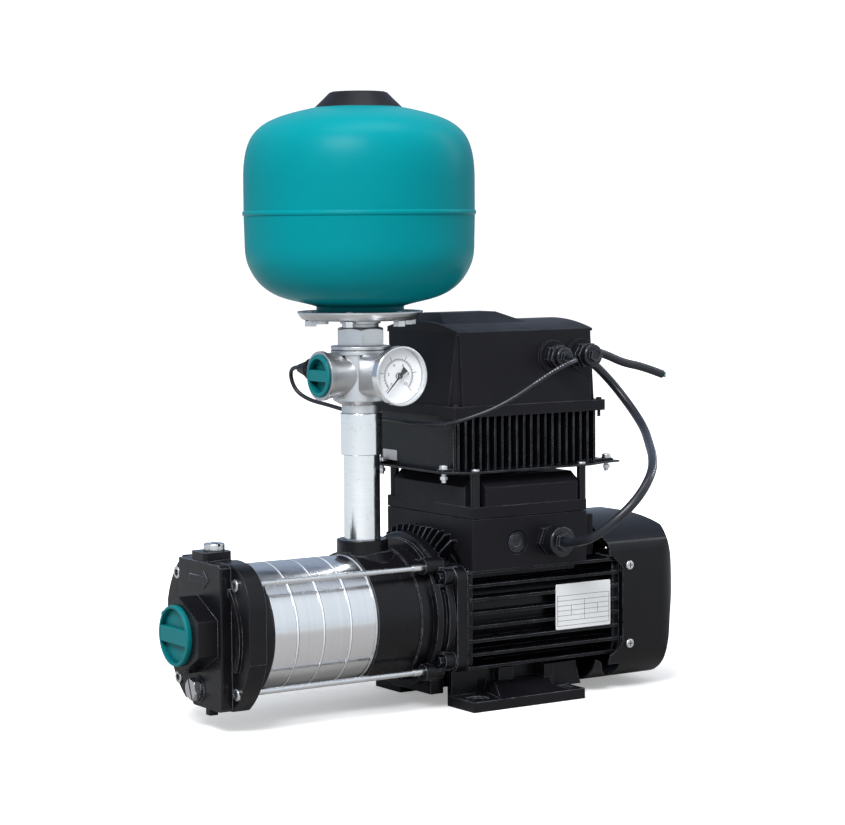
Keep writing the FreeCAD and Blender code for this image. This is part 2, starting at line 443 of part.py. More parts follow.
for s in (-1, 1):
    n = box(HOOD_X0 - 1, 243.5, min(s * 70, s * 80), max(s * 70, s * 80), 47.0, 119.0)
    n = fuse([n, prism([(HOOD_X0 - 1, s * 70, 119), (243.5, s * 70, 119), (231.5, s * 70, 131), (HOOD_X0 - 1, s * 70, 131)], (0, s * 10, 0)), prism([(HOOD_X0 - 1, s * 70, 47), (243.5, s * 70, 47), (231.5, s * 70, 36), (HOOD_X0 - 1, s * 70, 36)], (0, s * 10, 0))])
    hd = hd.cut(n)
hd = hd.cut(box(HOOD_X0 - 1, 243.5, -72, 72, 0, 36.0)).cut(box(HOOD_X0 - 1, 229.5, -90, 90, 0, 40))
# The floor of the hood runs forward to the feet below the side notches.
sk = hood(0.0, 213.0, 246.0).cut(hood(1.8, 212.0, 247.0))
hd = fuse([hd, sk.common(fuse([box(213, 246, -80, 80, 9, 13.0), prism([(213, -90, 9), (213, -90, 33.0), (219.5, -90, 30.0), (226.0, -90, 20.0), (238.0, -90, 12.0), (238.0, -90, 9)], (0, 180, 0))]))])
for r0 in (17.0, 26.0, 35.0, 44.0, 53.0):
    g = ring(cx(r0 + 2.6, HOOD_X1 - 9, HOOD_X1 + 1), cx(r0 - 2.6, HOOD_X1 - 10, HOOD_X1 + 2))
    for q in range(4):
        w = box(HOOD_X1 - 11, HOOD_X1 + 3, -2.6, 2.6, H, H + 80); w.rotate(V(0, 0, H), X, 45 + 90 * q)
        g = g.cut(w)
    hd = hd.cut(g)
for s in (-1, 1):
    for z in (45.8, 121.0):
        hd = hd.cut(cy(2.4, min(s * 70, s * 80), max(s * 70, s * 80), 250.5, z))
put("fan_cover", hd)
fs = []
for s in (-1, 1):
    for z in (45.8, 121.0):
        h = cy(4.4, min(s * 77.0, s * 80.0), max(s * 77.0, s * 80.0), 250.5, z)
        h = fil(h, 1.2, lambda e: abs(abs(mid(e).y) - 80.0) < 0.01)
        sh_ = cy(2.3, min(s * 68, s * 77.5), max(s * 68, s * 77.5), 250.5, z)
        q = fuse([h, sh_])
        q = q.cut(box(250.5 - 2.6, 250.5 + 2.6, min(s * 78.6, s * 81), max(s * 78.6, s * 81), z - 0.5, z + 0.5)).cut(box(250.5 - 0.5, 250.5 + 0.5, min(s * 78.6, s * 81), max(s * 78.6, s * 81), z - 2.6, z + 2.6))
        fs.append(q)
put("fan_cover_screws", Part.makeCompound(fs))
# lugs of the rear shield that the hood screws bite into
rs = out["rear_end_shield"]
lug4 = []
for s in (-1, 1):
    for z in (45.8, 121.0):
        lug4.append(box(244.0, 256.0, min(s * 60, s * 75.1), max(s * 60, s * 75.1), z - 6, z + 6))
rs = fuse([rs] + lug4).cut(cx(58.0, 247.2, 262))
for s in (-1, 1):
    for z in (45.8, 121.0):
        rs = rs.cut(cy(2.35, min(s * 66, s * 80), max(s * 66, s * 80), 250.5, z))
put("rear_end_shield", rs)

# Blank rating plate fixed to the fins of the near side.
npl = rrect(32.0, 21.5, 1.5, 0, 0.7, 0, 0)
npl.rotate(V(0, 0, 0), Z, 90); npl.translate(V(199.0, -FIN_Y - 0.75, 87.0))
put("nameplate", npl)

# ---------------------------------------------------------------------- feet
feet = []
for s in (-1, 1):
    def yb(a, b_):
        return (min(s * a, s * b_), max(s * a, s * b_))
    p = box(FOOT_X0, FOOT_X1, *yb(FOOT_Y0 - 3, FOOT_Y1), 0, FOOT_T)
    p = fil(p, 1.5, lambda e: abs(e.tangentAt(e.FirstParameter).z) > 0.99)
    # ramp that rises inwards to the motor
    a = Part.makePolygon([V(97.0, s * 83.0, FOOT_T - 0.5), V(176.0, s * 83.0, FOOT_T - 0.5), V(176.0, s * 42.0, FOOT_T - 0.5), V(106.0, s * 42.0, FOOT_T - 0.5), V(97.0, s * 83.0, FOOT_T - 0.5)])
    b_ = Part.makePolygon([V(109.5, s * 55.0, 20.2), V(173.0, s * 55.0, 20.2), V(173.0, s * 42.0, 20.2), V(109.5, s * 42.0, 20.2), V(109.5, s * 55.0, 20.2)])
    ramp = Part.makeLoft([a, b_], True, True)
    wall = box(FOOT_X0 + 6, FOOT_X1 - 1, *yb(32, 42), 6.0, 40.0)
    webl = prism([(FOOT_X0 + 2, s * 45, 6), (96, s * 45, 6), (96, s * 45, 40), (FOOT_X0 + 2, s * 45, 40)], (0, -s * 4, 0))
    rib = prism([(FOOT_X0 + 4, s * 44, 9), (FOOT_X0 + 4, s * 66, 9), (FOOT_X0 + 4, s * 44, 26)], (5, 0, 0))
    p1 = box(118.0, 134.5, *yb(36, 50), 16.0, 40.0)
    p2 = prism([(165.0, s * 58, 9.0), (207.5, s * 58, 9.0), (205.0, s * 58, 16.0), (202.5, s * 58, 24.0), (201.0, s * 58, 34.0), (200.5, s * 58, 40.0), (165.0, s * 58, 40.0)], (0, -s * 14, 0))
    f = fuse([p, ramp, wall, webl, p1, p2, box(FOOT_X0 + 3, FOOT_X0 + 10, *yb(37, 42), 6.0, 36.0)])
    f = f.cut(cx(62.6, 60, 245)).cut(box(60, 200, -40 if s > 0 else 0, 0 if s > 0 else 40, 0, 60))
    f = f.cut(box(60, 230, *yb(20, 60), 31.5, 60))
    f = fuse([f, box(FOOT_X0 + 10, FOOT_X1 - 1, *yb(30, 38), 28.0, 36.0).cut(cx(62.6, 60, 245))])
    for x in (-HOLE_SX / 2, HOLE_SX / 2):
        f = f.cut(cz(HOLE_R, -1, 30, 129.5 + x, s * HOLE_SY / 2)).cut(cz(10.5, FOOT_T - 0.9, 30, 129.5 + x, s * HOLE_SY / 2))
    feet.append(f)
put("motor_feet", Part.makeCompound(feet))

# -------------------------------------------------------------- terminal box
tb_ = box(BOX_X0, BOX_X1, -BOX_Y, BOX_Y, BOX_Z0, BOX_Z1 - 0.4)
tb_ = fil(tb_, 2.0, lambda e: abs(e.tangentAt(e.FirstParameter).z) > 0.99)
tb_ = fuse([tb_, rrectz(BOX_X1 - 4, 222.0, -60.0, 60.0, 3.0, 132.0, 170.6)])
tb_ = tb_.cut(box(BOX_X0 + 3, BOX_X1 - 3, -BOX_Y + 3, BOX_Y - 3, 154.0, BOX_Z1 + 1))
tb_ = tb_.cut(cx(74.0, 60, 250).common(box(60, 250, -90, 90, 100, 151.0)))
tb_ = tb_.cut(fuse([box(BOX_X0 + 3.9, BOX_X1 - 3.9, -70, 70, 100, 151.0).common(cx(100, 60, 250))]))
tb_ = tb_.cut(box(125, 145, -10, 10, 150, 156))
tb_ = tb_.cut(cy(8.7, -80, -60, 159.0, 152.0)).cut(cy(8.05, -80, -60, 123.5, 152.0))
tb_ = tb_.cut(cy(11.6, -BOX_Y - 1, -BOX_Y + 1.6, 123.5, 152.0))
put("terminal_box", tb_)
lid = box(BOX_X0, BOX_X1, -BOX_Y, BOX_Y, BOX_Z1 + 0.4, LID_Z1)
lid = fil(lid, 2.0, lambda e: abs(e.tangentAt(e.FirstParameter).z) > 0.99)
up = box(BOX_X0 + 0.6, BOX_X1 - 0.6, -BOX_Y + 0.6, BOX_Y - 0.6, LID_Z1 - 1, LID_Z3)
for xq, sx in ((BOX_X0, 1), (BOX_X1, -1)):
    for s in (-1, 1):
        x1 = xq + sx * (15.0 if sx > 0 else 10.8)
        up = up.cut(box(min(xq - sx, x1), max(xq - sx, x1), min(s * (BOX_Y - 13.5), s * (BOX_Y + 1)), max(s * (BOX_Y - 13.5), s * (BOX_Y + 1)), LID_Z1, LID_Z3 + 1))
up = up.common(fuse([box(60, 220, -90, 90, LID_Z1 - 2, LID_Z2 - 2), frustum((BOX_X0, BOX_X1, -BOX_Y, BOX_Y), LID_Z2 - 2.1, (BOX_X0 + 9, BOX_X1 - 9, -BOX_Y + 14, BOX_Y - 14), LID_Z3 + 0.01)]))
lid = fuse([lid, up])
lid = lid.cut(box(BOX_X0 + 18, BOX_X1 - 14, -BOX_Y + 17, BOX_Y - 17, BOX_Z1 - 1, LID_Z3 - 3))
put("terminal_box_lid", lid)

# Cable glands and blank plugs on the terminal box and on the drive cover.
def gland(y0, x, z, hex_r, nut_r, length, cable_r, blank=False, rot=8.0):
    """Gland standing on a face at y0 and pointing to -Y."""
    g = fuse([hexy(hex_r, y0 - 5.0, y0, x, z, rot), cy(hex_r * 0.8, y0 - 8.0, y0, x, z), hexy(hex_r, y0 - 11.0, y0 - 6.2, x, z, rot)])
    n = cy(nut_r, y0 - length + 4.0, y0 - 11.0, x, z)
    n = fil(n, 2.2, lambda e: abs(mid(e).y - (y0 - length + 4.0)) < 0.01)
    g = fuse([g, n, hexy(nut_r * 0.62, y0 - length, y0 - length + 5.0, x, z, 20)])
    g = fuse([g, cy(hex_r * 0.6, y0 - 1.0, y0 + 8.0, x, z)])
    if not blank:
        g = g.cut(cy(cable_r, y0 - length - 1, y0 + 9, x, z))
    else:
        g = g.cut(cy(nut_r * 0.42, y0 - length - 1, y0 - length + 1.2, x, z))
    return g
def rot_to_x(s, x, y, z):
    """Turn a -Y gland built at the origin so that it points to +X."""
    s = s.copy(); s.rotate(V(0, 0, 0), Z, 90); s.translate(V(x, y, z)); return s
G_TERM = (159.0, 152.0)
gl = [gland(-BOX_Y, G_TERM[0], G_TERM[1], 14.4, 14.2, 27.5, 4.6)]
bp = fuse([cy(9.6, -BOX_Y + 0.4, -BOX_Y + 1.6, 123.5, 152.0), hexy(7.6, -BOX_Y - 1.6, -BOX_Y + 1.0, 121.6, 152.4, 12), cy(7.9, -BOX_Y + 1.4, -BOX_Y + 6, 123.5, 152.0)])
bp = bp.cut(cy(4.2, -BOX_Y - 3, -BOX_Y - 0.8, 121.6, 152.4))
gl.append(bp)
DG_Y = -61.4
DG = ((174.5, 322.0), (207.5, 322.5))
gl.append(gland(DG_Y, DG[0][0], DG[0][1], 11.6, 9.4, 23.0, 2.1, rot=14))
gl.append(gland(DG_Y, DG[1][0], DG[1][1], 12.4, 10.6, 23.0, 2.1, blank=True, rot=2))
DGX = 225.3
DG_MOTOR = (22.0, 316.0)
DG_MAINS = (-14.0, 323.0)
gl.append(rot_to_x(gland(0, 0, 0, 11.0, 10.4, 18.2, 4.6), DGX, DG_MOTOR[0], DG_MOTOR[1]))
gl.append(rot_to_x(gland(0, 0, 0, 11.0, 10.4, 18.2, 4.3), DGX, DG_MAINS[0], DG_MAINS[1]))
put("cable_glands", Part.makeCompound(gl))

# --------------------------------------------- plate and posts under the drive
pl = prism([(52.0, -60, PLATE_Z0), (58.0, -62, PLATE_Z0), (73.0, -73.4, PLATE_Z0), (208, -73.4, PLATE_Z0), (236, -62, PLATE_Z0), (253.0, -60, PLATE_Z0), (253.0, 62, PLATE_Z0), (236, 64, PLATE_Z0), (208, 73.4, PLATE_Z0), (73, 73.4, PLATE_Z0), (58.0, 64, PLATE_Z0), (52.0, 62, PLATE_Z0)], (0, 0, PLATE_Z1 - PLATE_Z0))
PS = [(55.6, -53.0), (55.6, 53.0), (243.0, -52.0), (243.0, 52.0)]
for x, y in PS:
    pl = pl.cut(cz(2.3, 200, 230, x, y))
for x in POST_X:
    for s in (-1, 1):
        pl = pl.cut(cz(2.3, 200, 230, x, s * POST_Y))
pl = pl.cut(rrectz(110, 185, -30, 30, 6, 200, 230))
put("drive_plate", pl)
ps = []
for x in POST_X:
    for s in (-1, 1):
        p = cz(4.3, LID_Z1, PLATE_Z0, x, s * POST_Y)
        ps.append(ring(p, cz(2.1, PLATE_Z0 - 10, PLATE_Z0 + 1, x, s * POST_Y)))
put("standoff_posts", Part.makeCompound(ps))
sc = []
for x in POST_X:
    for s in (-1, 1):
        h = fil(cz(4.2, PLATE_Z1, PLATE_Z1 + 2.2, x, s * POST_Y), 1.0, lambda e: abs(mid(e).z - PLATE_Z1 - 2.2) < 0.01)
        sc.append(fuse([h, cz(2.0, PLATE_Z0 - 8, PLATE_Z1 + 1, x, s * POST_Y)]))
for x, y in PS:
    h = fil(cz(4.2, PLATE_Z1 + 3.0, PLATE_Z1 + 6.2, x, y), 1.2, lambda e: abs(mid(e).z - PLATE_Z1 - 6.2) < 0.01)
    sc.append(fuse([h, cz(4.8, PLATE_Z1 + 2.2, PLATE_Z1 + 3.0, x, y), cz(2.2, 209.8, PLATE_Z1 + 4, x, y), hexz(3.6, 212.4, 215.6, x, y, 10)]))
put("drive_plate_screws", Part.makeCompound(sc))

# ------------------------------------------------------------ frequency drive
# Aluminium heatsink: base slab with upright fins on the long sides.
hs = box(HS_X0, HS_X1, -47, 52, PLATE_Z1, HS_Z1)
fins = []
for k in range(20):
    x = HS_X0 + 5.0 + k * 8.2
    for s in (-1, 1):
        ya, ye = (46, HS_Y) if s < 0 else (51, HS_YF)
        fins.append(box(x, x + 1.9, min(s * ya, s * ye), max(s * ya, s * ye), PLATE_Z1, HS_Z1))
ends = [box(HS_X0, HS_X0 + 3.0, -HS_Y, HS_YF, PLATE_Z1, HS_Z1)]
hs = fuse([hs] + fins + ends)
hs = hs.cut(box(HS_X0 + 8, HS_X1 - 8, -40, 40, 238.0, HS_Z1 + 1)).cut(box(HS_X0 + 12, HS_X1 - 12, -38, 38, PLATE_Z1 - 1, 228.0))
tabs = []
for x, y in PS:
    x0, x1 = (min(x - 4.6, HS_X0), HS_X0 + 6) if x < 100 else (212.0, x + 4.6)
    tabs.append(box(x0, x1, y - 4.6, y + 4.6, PLATE_Z1, PLATE_Z1 + 2.2))  # fixing ears
hs = fuse([hs] + tabs)
for x, y in PS:
    hs = hs.cut(cz(2.3, 200, 230, x, y)).cut(cz(6.0, PLATE_Z1 + 2.2, 230, x, y))
for x in POST_X:
    for s in (-1, 1):
        hs = hs.cut(cz(4.6, PLATE_Z1 - 1, PLATE_Z1 + 4.0, x, s * POST_Y))
put("drive_heatsink", hs)
bd = [box(82, 210, -36, 36, 271.5, 273.1)]
for x, y, r, h_ in ((100, -18, 11, 32), (100, 10, 11, 32), (128, -18, 11, 32)):
    bd.append(cz(r, 273.1, 273.1 + h_, x, y))
bd += [box(150, 196, -30, -6, 273.1, 289.0), box(150, 200, 4, 30, 273.1, 285.0), box(118, 140, 6, 32, 273.1, 292.0)]
bd += [cz(3.0, 238.0, 271.5, x, y) for x in (86, 206) for y in (-32, 32)]
put("drive_board", fuse(bd))
# Drive cover: flange, drafted walls, crowned roof and the raised panel block.
FL = (61.0, 235.6, -61.9, 67.0)
fl = rrectz(FL[0], FL[1], FL[2], FL[3], 3.0, HS_Z1, CV_Z0)
wl = frustum((63.0, 229.5, -60.2, 65.6), CV_Z0 - 0.5, (69.6, 223.0, -56.6, 63.6), CV_Z1)
roof = Part.makeCylinder(215.0, 153.4, V(69.6, 3.5, 355.6 - 215.0), X).common(box(69.6, 223.0, -56.6, 63.6, CV_Z1 - 2, 360))
panel = frustum((69.6, 176.0, -36.0, 63.6), CV_Z1 + 2.6, (88.0, 151.0, 0.0, 27.0), 363.2)
panel = fuse([panel, box(69.6, 176.0, -36.0, 63.6, CV_Z1 - 1, CV_Z1 + 2.7)])
cv = fuse([fl, wl, roof, panel])
YE = {-1: -60.0, 1: 65.4}
for xq in (63.0, 228.0):
    for s in (-1, 1):
        cv = cv.cut(Part.makeCone(9.6, 3.6, CV_Z1 - CV_Z0 - 2, V(xq, YE[s], CV_Z0), V(0.075 if xq < 100 else -0.07, -s * 0.045, 1)))
inner = frustum((67.0, 225.5, -56.5, 62.0), HS_Z1 - 1, (74.0, 219.0, -52.5, 59.5), CV_Z1 - 3)
core = inner
for xq in (63.0, 228.0):
    for s in (-1, 1):
        core = core.cut(Part.makeCone(14.0, 5.0, 90, V(xq, YE[s], HS_Z1 - 2), V(0.075 if xq < 100 else -0.07, -s * 0.045, 1)))
cv = cv.cut(core)
# the keypad recess on the slope that faces away from the inlet side (+Y)
KP_A = math.atan2(363.2 - CV_Z1 - 2.6, 63.6 - 27.0)
KP_N = V(0, math.sin(KP_A), math.cos(KP_A))
KP_C = V(119.5, 45.3, (363.2 + CV_Z1 + 2.6) / 2.0)
KP_U = V(1, 0, 0); KP_V = KP_N.cross(KP_U)
def on_panel(u, v, n):
    return KP_C + KP_U * u + KP_V * v + KP_N * n
def panel_box(u0, u1, v0, v1, n0, n1, r=0.0):
    w = [on_panel(u0, v0, n0), on_panel(u1, v0, n0), on_panel(u1, v1, n0), on_panel(u0, v1, n0)]
    s = Part.Face(Part.makePolygon(w + [w[0]])).extrude(KP_N * (n1 - n0))
    if r:
        s = fil(s, r, lambda e: abs(e.tangentAt(e.FirstParameter).dot(KP_N)) > 0.99)
    return s
cv = fuse([cv, panel_box(-27, 27, -13, 13, -6.5, -1.8)])
cv = cv.cut(panel_box(-25, 25, -11.5, 11.5, -0.9, 6))
DS_HOLES = []
KEYS = (("key_run", -17.0), ("key_down", 3.0), ("key_up", 17.0))
for nm, u in KEYS:
    w = 6.0 if nm == "key_run" else 5.0
    cv = cv.cut(panel_box(u - w, u + w, -5.0, 5.0, -5.2, 2, 1.5))
    k = panel_box(u - w + 0.4, u + w - 0.4, -4.6, 4.6, -4.1, 1.2, 1.3)
    put(nm, k)
for x, z in DG:
    cv = cv.cut(cy(7.6, -70, -45, x, z))
cv = fuse([cv] + [ring(cy(15.2, DG_Y, -54, x, z).common(box(150, 221.5, -70, -50, 300, 345)), cy(7.6, -70, -45, x, z)) for x, z in DG])
xw = box(DGX - 6.0, DGX, -30, 38, 300, 339)
cv = fuse([cv, xw])
cv = cv.cut(box(DGX, 240, -30, 38, 300, 339))
for y, z in (DG_MOTOR, DG_MAINS):
    cv = cv.cut(cx(7.3, 210, 240, y, z))
ds = []
for xq in (65.2, 229.4):
    for s in (-1, 1):
        x = xq
        yq = -58.4 if s < 0 else 63.4
        cv = cv.cut(cz(1.65, HS_Z1 - 1, CV_Z0 + 1, x, yq)).cut(cz(3.4, CV_Z0, CV_Z0 + 6.0, x, yq))
        h = fil(cz(2.7, CV_Z0, CV_Z0 + 2.4, x, yq), 0.8, lambda e: abs(mid(e).z - CV_Z0 - 2.4) < 0.01)
        ds.append(fuse([h, cz(1.6, HS_Z1 - 6, CV_Z0 + 1, x, yq)]))
        DS_HOLES.append((x, yq))
put("drive_cover", cv)
hs = out["drive_heatsink"]
for x, y in DS_HOLES:
    hs = hs.cut(cz(1.65, HS_Z1 - 6.2, HS_Z1 + 1, x, y))
put("drive_heatsink", hs)
put("drive_cover_screws", Part.makeCompound(ds))

# -------------------------------------------------------- riser, cross, gauge
# Riser: stainless tube screwed into the casing, sleeve on top of it.
rp = ring(cz(RISER_R, 139.0, 250.0), cz(RISER_R - RISER_T, 138, 251))
put("riser_pipe", rp)
sl = fuse([cz(SLEEVE_R, 235.6, 274.0)])
sl = fil(sl, 0.8, lambda e: abs(mid(e).z - 235.6) < 0.01 or abs(mid(e).z - 274.0) < 0.01)
sl = sl.cut(cz(RISER_R, 230, 251.2)).cut(cz(13.6, 250, 280)).cut(cz(15.6, 263.0, 280))
put("riser_coupling", sl)
# Non-return valve inside the coupling: seat lip, poppet with stem, coil spring.
pop = fuse([cz(13.2, 251.4, 254.0), cz(3.0, 242.0, 266.0)])
pop = fil(pop, 0.8, lambda e: abs(mid(e).z - 254.0) < 0.01)
pv = fuse([cz(11.0, 251.6, 254.2), cz(2.6, 245.0, 268.0)])
put("check_valve_poppet", pv)
seatr = ring(cz(13.55, 248.0, 251.4), cz(9.5, 240, 260))
spider = fuse([ring(cz(15.5, 271.5, 273.8), cz(11.5, 260, 280)), ring(cz(4.6, 266.0, 273.8), cz(2.9, 260, 280)), box(-15, -3.6, -1.2, 1.2, 271.5, 273.8), box(3.6, 15, -1.2, 1.2, 271.5, 273.8), box(-1.2, 1.2, 3.6, 15, 271.5, 273.8), box(-1.2, 1.2, -15, -3.6, 271.5, 273.8)])
spg = [Part.makeTorus(7.2, 0.7, V(0, 0, 262.6 + 2.2 * k), Z) for k in range(4)]
put("check_valve_spring", Part.makeCompound([spider.common(cz(15.4, 260, 280)), ring(cz(14.0, 249.0, 251.2), cz(9.5, 240, 260))] + spg))
# Zinc cross: upright barrel, two pairs of side ports, turned collars.
cr = fuse([cz(25.8, 285.6, 329.0), cz(17.9, 274.0, 286.0), cz(27.6, 328.0, 335.8), Part.makeCone(19.0, 25.8, 3.8, V(0, 0, 281.8), Z)])
cr = cr.cut(ring(cz(30.0, 331.6, 332.6), cz(26.6, 330, 334)))
nzz = CROSS_Z + 1.0
sq = box(-15.2, 15.2, -59.5, -20.0, nzz - 18.3, nzz + 18.3)
sq = fil(sq, 5.0, lambda e: abs(e.tangentAt(e.FirstParameter).y) > 0.99)
cr = fuse([cr, Part.makeCone(21.6, 19.8, 30.3, V(-44.3, 0, CROSS_Z), X), Part.makeCylinder(19.8, 14.5, V(-14.3, 0, CROSS_Z), X), sq, Part.makeCylinder(20.0, 38.0, V(0, 0, CROSS_Z), Y),
           Part.makeCylinder(22.6, 4.0, V(-44.3, 0, CROSS_Z), X)])
cr = fil(cr, 0.8, lambda e: abs(mid(e).z - 335.8) < 0.01)
cr = cr.cut(cz(15.5, 270, 340)).cut(Part.makeCylinder(16.6, 60.0, V(-44.9, 0, CROSS_Z), X)).cut(Part.makeCylinder(6.7, 110.0, V(0, -62.0, CROSS_Z), Y))
put("cross_fitting", cr)
XP = -46.6
op = plug(XP, 19.6, 10.4, 6.6, 16.5, 16.0, CROSS_Z, 19.6)
op = op.cut(ring(Part.makeCylinder(30, 6, V(-44.3, 0, CROSS_Z), X), Part.makeCylinder(16.5, 8, V(-45, 0, CROSS_Z), X)))
put("outlet_plug", op)
# Gauge: chromed case on the -Y port with a stem, dial, lens and pointer.
GY = -70.5; GZ = CROSS_Z + 1.3; GR = 27.1
gc = fuse([cy(GR - 1.3, -65.0, -60.2, 0, GZ), cy(GR, GY, -64.0, 0, GZ), cy(14.0, -61.0, -59.5, 0, GZ), cy(6.65, -60.0, -30.0, 0, CROSS_Z)])
gc = fil(gc, 1.0, lambda e: abs(mid(e).y - GY) < 0.01)
gc = gc.cut(cy(GR - 2.0, GY - 1, -63.6, 0, GZ)).cut(cy(2.0, -56, -29, 0, CROSS_Z))
gc = fuse([gc, cy(1.2, -66.0, -63.0, 0, GZ)])
put("gauge_case", gc)
put("gauge_lens", cy(GR - 2.05, -69.6, -68.4, 0, GZ))
# pointer at rest points to the zero mark, lower left
pt = fuse([prism([(-0.8, -67.3, 0), (-0.35, -67.3, 20.5), (0.35, -67.3, 20.5), (0.8, -67.3, 0)], (0, 0.5, 0)), prism([(-0.9, -67.3, 0), (-3.2, -67.3, -8.6), (3.2, -67.3, -8.6), (0.9, -67.3, 0)], (0, 0.5, 0)), cy(2.4, -67.6, -66.4, 0, 0)])
pt = pt.cut(cy(1.25, -80, -60, 0, 0))
pt.rotate(V(0, 0, 0), Y, -137.0); pt.translate(V(0, 0, GZ))
put("gauge_pointer", pt)
# Pressure sensor in the +Y port: hexagon, body and tapered cable exit.
SZ = CROSS_Z + 0.6
se = fuse([cy(6.65, 30.0, 40.0, 0, CROSS_Z), hexy(13.0, 38.0, 48.0, 0, SZ, 0), cy(9.2, 47.0, 72.0, 0, SZ), cy(10.2, 72.0, 88.0, 0, SZ)])
for k in range(5):
    se = se.fuse(cy(10.9, 73.5 + 3.0 * k, 75.0 + 3.0 * k, 0, SZ))
se = fuse([se, Part.makeCone(10.0, 4.2, 24.0, V(0, 86.0, SZ), Y)])
put("pressure_sensor", se)

# ----------------------------------------------------------------- tank group
nz0 = 335.6
nip = hexz(23.8, nz0 + 0.2, 352.6, 0, 0, 0).common(fuse([cz(24.2, 330, 350.2), Part.makeCone(24.2, 18.2, 2.8, V(0, 0, 350.1), Z)]))
nip = fuse([nip, cz(16.8, 352.0, 356.4), cz(18.6, 356.0, 359.4), cz(15.45, 324.0, 336.5)])
nip = nip.cut(cz(11.5, 320, 360))
put("tank_nipple", nip)
tf = revolve([(11.5, 0, 359.4), (50.5, 0, 359.4), (53.6, 0, 360.4), (56.0, 0, 363.2), (57.6, 0, 366.0), (57.6, 0, 367.4), (55.8, 0, 367.4), (54.8, 0, 364.8), (53.4, 0, 362.8), (11.5, 0, 362.8)], (0, 0, 0), (0, 0, 1))
fb = []
for k in range(6):
    t = math.radians(60 * k + 46.3)
    x, y = 47.6 * math.cos(t), 47.6 * math.sin(t)
    tf = tf.cut(cz(3.3, 350, 372, x, y))
    fb.append(fuse([hexz(6.0, 354.2, 359.4, x, y, 25 * k + 12), cz(3.25, 355.0, 368.0, x, y)]))
put("tank_flange", tf)
# outline of the steel vessel, outer then inner, revolved about Z
def offset_line(P, g):
    """Points of an outline moved towards the inside of the vessel by g."""
    q = []
    for i, (r, z) in enumerate(P):
        a, b = P[max(i - 1, 0)], P[min(i + 1, len(P) - 1)]
        dr, dz = b[0] - a[0], b[1] - a[1]
        L = math.hypot(dr, dz)
        q.append((r + g * dz / L, z - g * dr / L))
    return q
def turned(parts):
    """Turn a closed outline about Z; each part is a straight run or a smooth curve through points."""
    e, last = [], None
    for kind, P in parts:
        P = [V(r, 0, z) for r, z in P]
        if last is not None and (last - P[0]).Length > 1e-6:
            e.append(Part.LineSegment(last, P[0]).toShape())
        if kind == "curve":
            c = Part.BSplineCurve(); c.interpolate(P); e.append(c.toShape())
        else:
            for u, w in zip(P, P[1:]):
                e.append(Part.LineSegment(u, w).toShape())
        last = P[-1]
    first = V(parts[0][1][0][0], 0, parts[0][1][0][1])
    if (last - first).Length > 1e-6:
        e.append(Part.LineSegment(last, first).toShape())
    return Part.Face(Part.Wire(e)).revolve(V(0, 0, 0), Z, 360)
UP = [(13.0, 556.7), (24.0, 555.6), (39.6, 552.9), (54.7, 549.6), (70.5, 545.2), (82.5, 540.2), (91.0, 534.4), (97.6, 527.0), (101.6, 518.6), (104.4, 507.0), (105.6, 493.0), (105.7, 480.0)]
LO = [(105.1, 432.0), (104.9, 424.0), (103.0, 412.4), (98.9, 403.0), (93.2, 394.6), (84.8, 387.0), (73.4, 380.9), (57.0, 376.2), (42.5, 372.6)]
UI = offset_line(UP, 1.6)
LI = offset_line(LO, 1.6)
bead = [(105.7, 459.4), (106.6, 458.7), (107.0, 457.0), (106.6, 455.3), (105.7, 454.6)]
tk = turned([("line", [(5.1, 544.0), (5.1, 558.5), (13.0, 558.5)]), ("curve", UP), ("line", bead), ("curve", LO),
             ("line", [(40.2, 371.8), (40.2, 367.0), (53.6, 367.0), (53.6, 365.0), (28.0, 365.0), (28.0, LI[-1][1])]),
             ("curve", LI[::-1]), ("curve", UI[::-1]), ("line", [(13.0, 544.0)])])
for k in range(6):
    t = math.radians(60 * k + 46.3)
    tk = tk.cut(cz(3.3, 360, 367.5, 47.6 * math.cos(t), 47.6 * math.sin(t)))
put("tank_shell", tk)
put("air_valve", ring(fuse([cz(5.0, 545.0, 559.5), hexz(7.0, 558.6, 560.4, 0, 0), cz(3.6, 560.0, 563.4)]), cz(1.4, 540, 566)))
# Rubber membrane bag hanging from the flange into the shell.
bag_o = revolve([(0, 0, 374.8), (27.6, 0, 374.8), (60.0, 0, 386.0), (84.0, 0, 402.0), (92.0, 0, 420.0), (92.0, 0, 440.0), (84.0, 0, 466.0), (60.0, 0, 486.0), (30.0, 0, 493.0), (0, 0, 494.0)], (0, 0, 0), (0, 0, 1))
bag_i = revolve([(0, 0, 377.2), (26.8, 0, 377.2), (58.8, 0, 388.2), (82.2, 0, 403.6), (89.8, 0, 420.4), (89.8, 0, 439.6), (82.2, 0, 464.8), (59.0, 0, 484.0), (29.8, 0, 490.7), (0, 0, 491.6)], (0, 0, 0), (0, 0, 1))
bg = fuse([bag_o, cz(27.6, 363.0, 376.0), cz(52.6, 362.8, 365.0)])
bg = bg.cut(bag_i).cut(cz(24.0, 355.0, 380.0))
for k in range(6):
    t = math.radians(60 * k + 46.3)
    bg = bg.cut(cz(3.3, 360, 366, 47.6 * math.cos(t), 47.6 * math.sin(t)))
put("tank_bladder", bg)
put("flange_bolts", Part.makeCompound(fb))
cap = revolve([(0, 0, 549.0), (40.4, 0, 549.0), (40.4, 0, 552.4), (37.0, 0, 555.8), (33.4, 0, 559.2), (29.6, 0, 563.0), (26.6, 0, 566.0), (24.0, 0, 567.0), (0, 0, 567.2)], (0, 0, 0), (0, 0, 1))
cap = cap.cut(revolve([(0, 0, 548.0), (36.0, 0, 548.0), (36.0, 0, 553.6), (27.6, 0, 562.0), (24.0, 0, 564.6), (0, 0, 564.8)], (0, 0, 0), (0, 0, 1)))
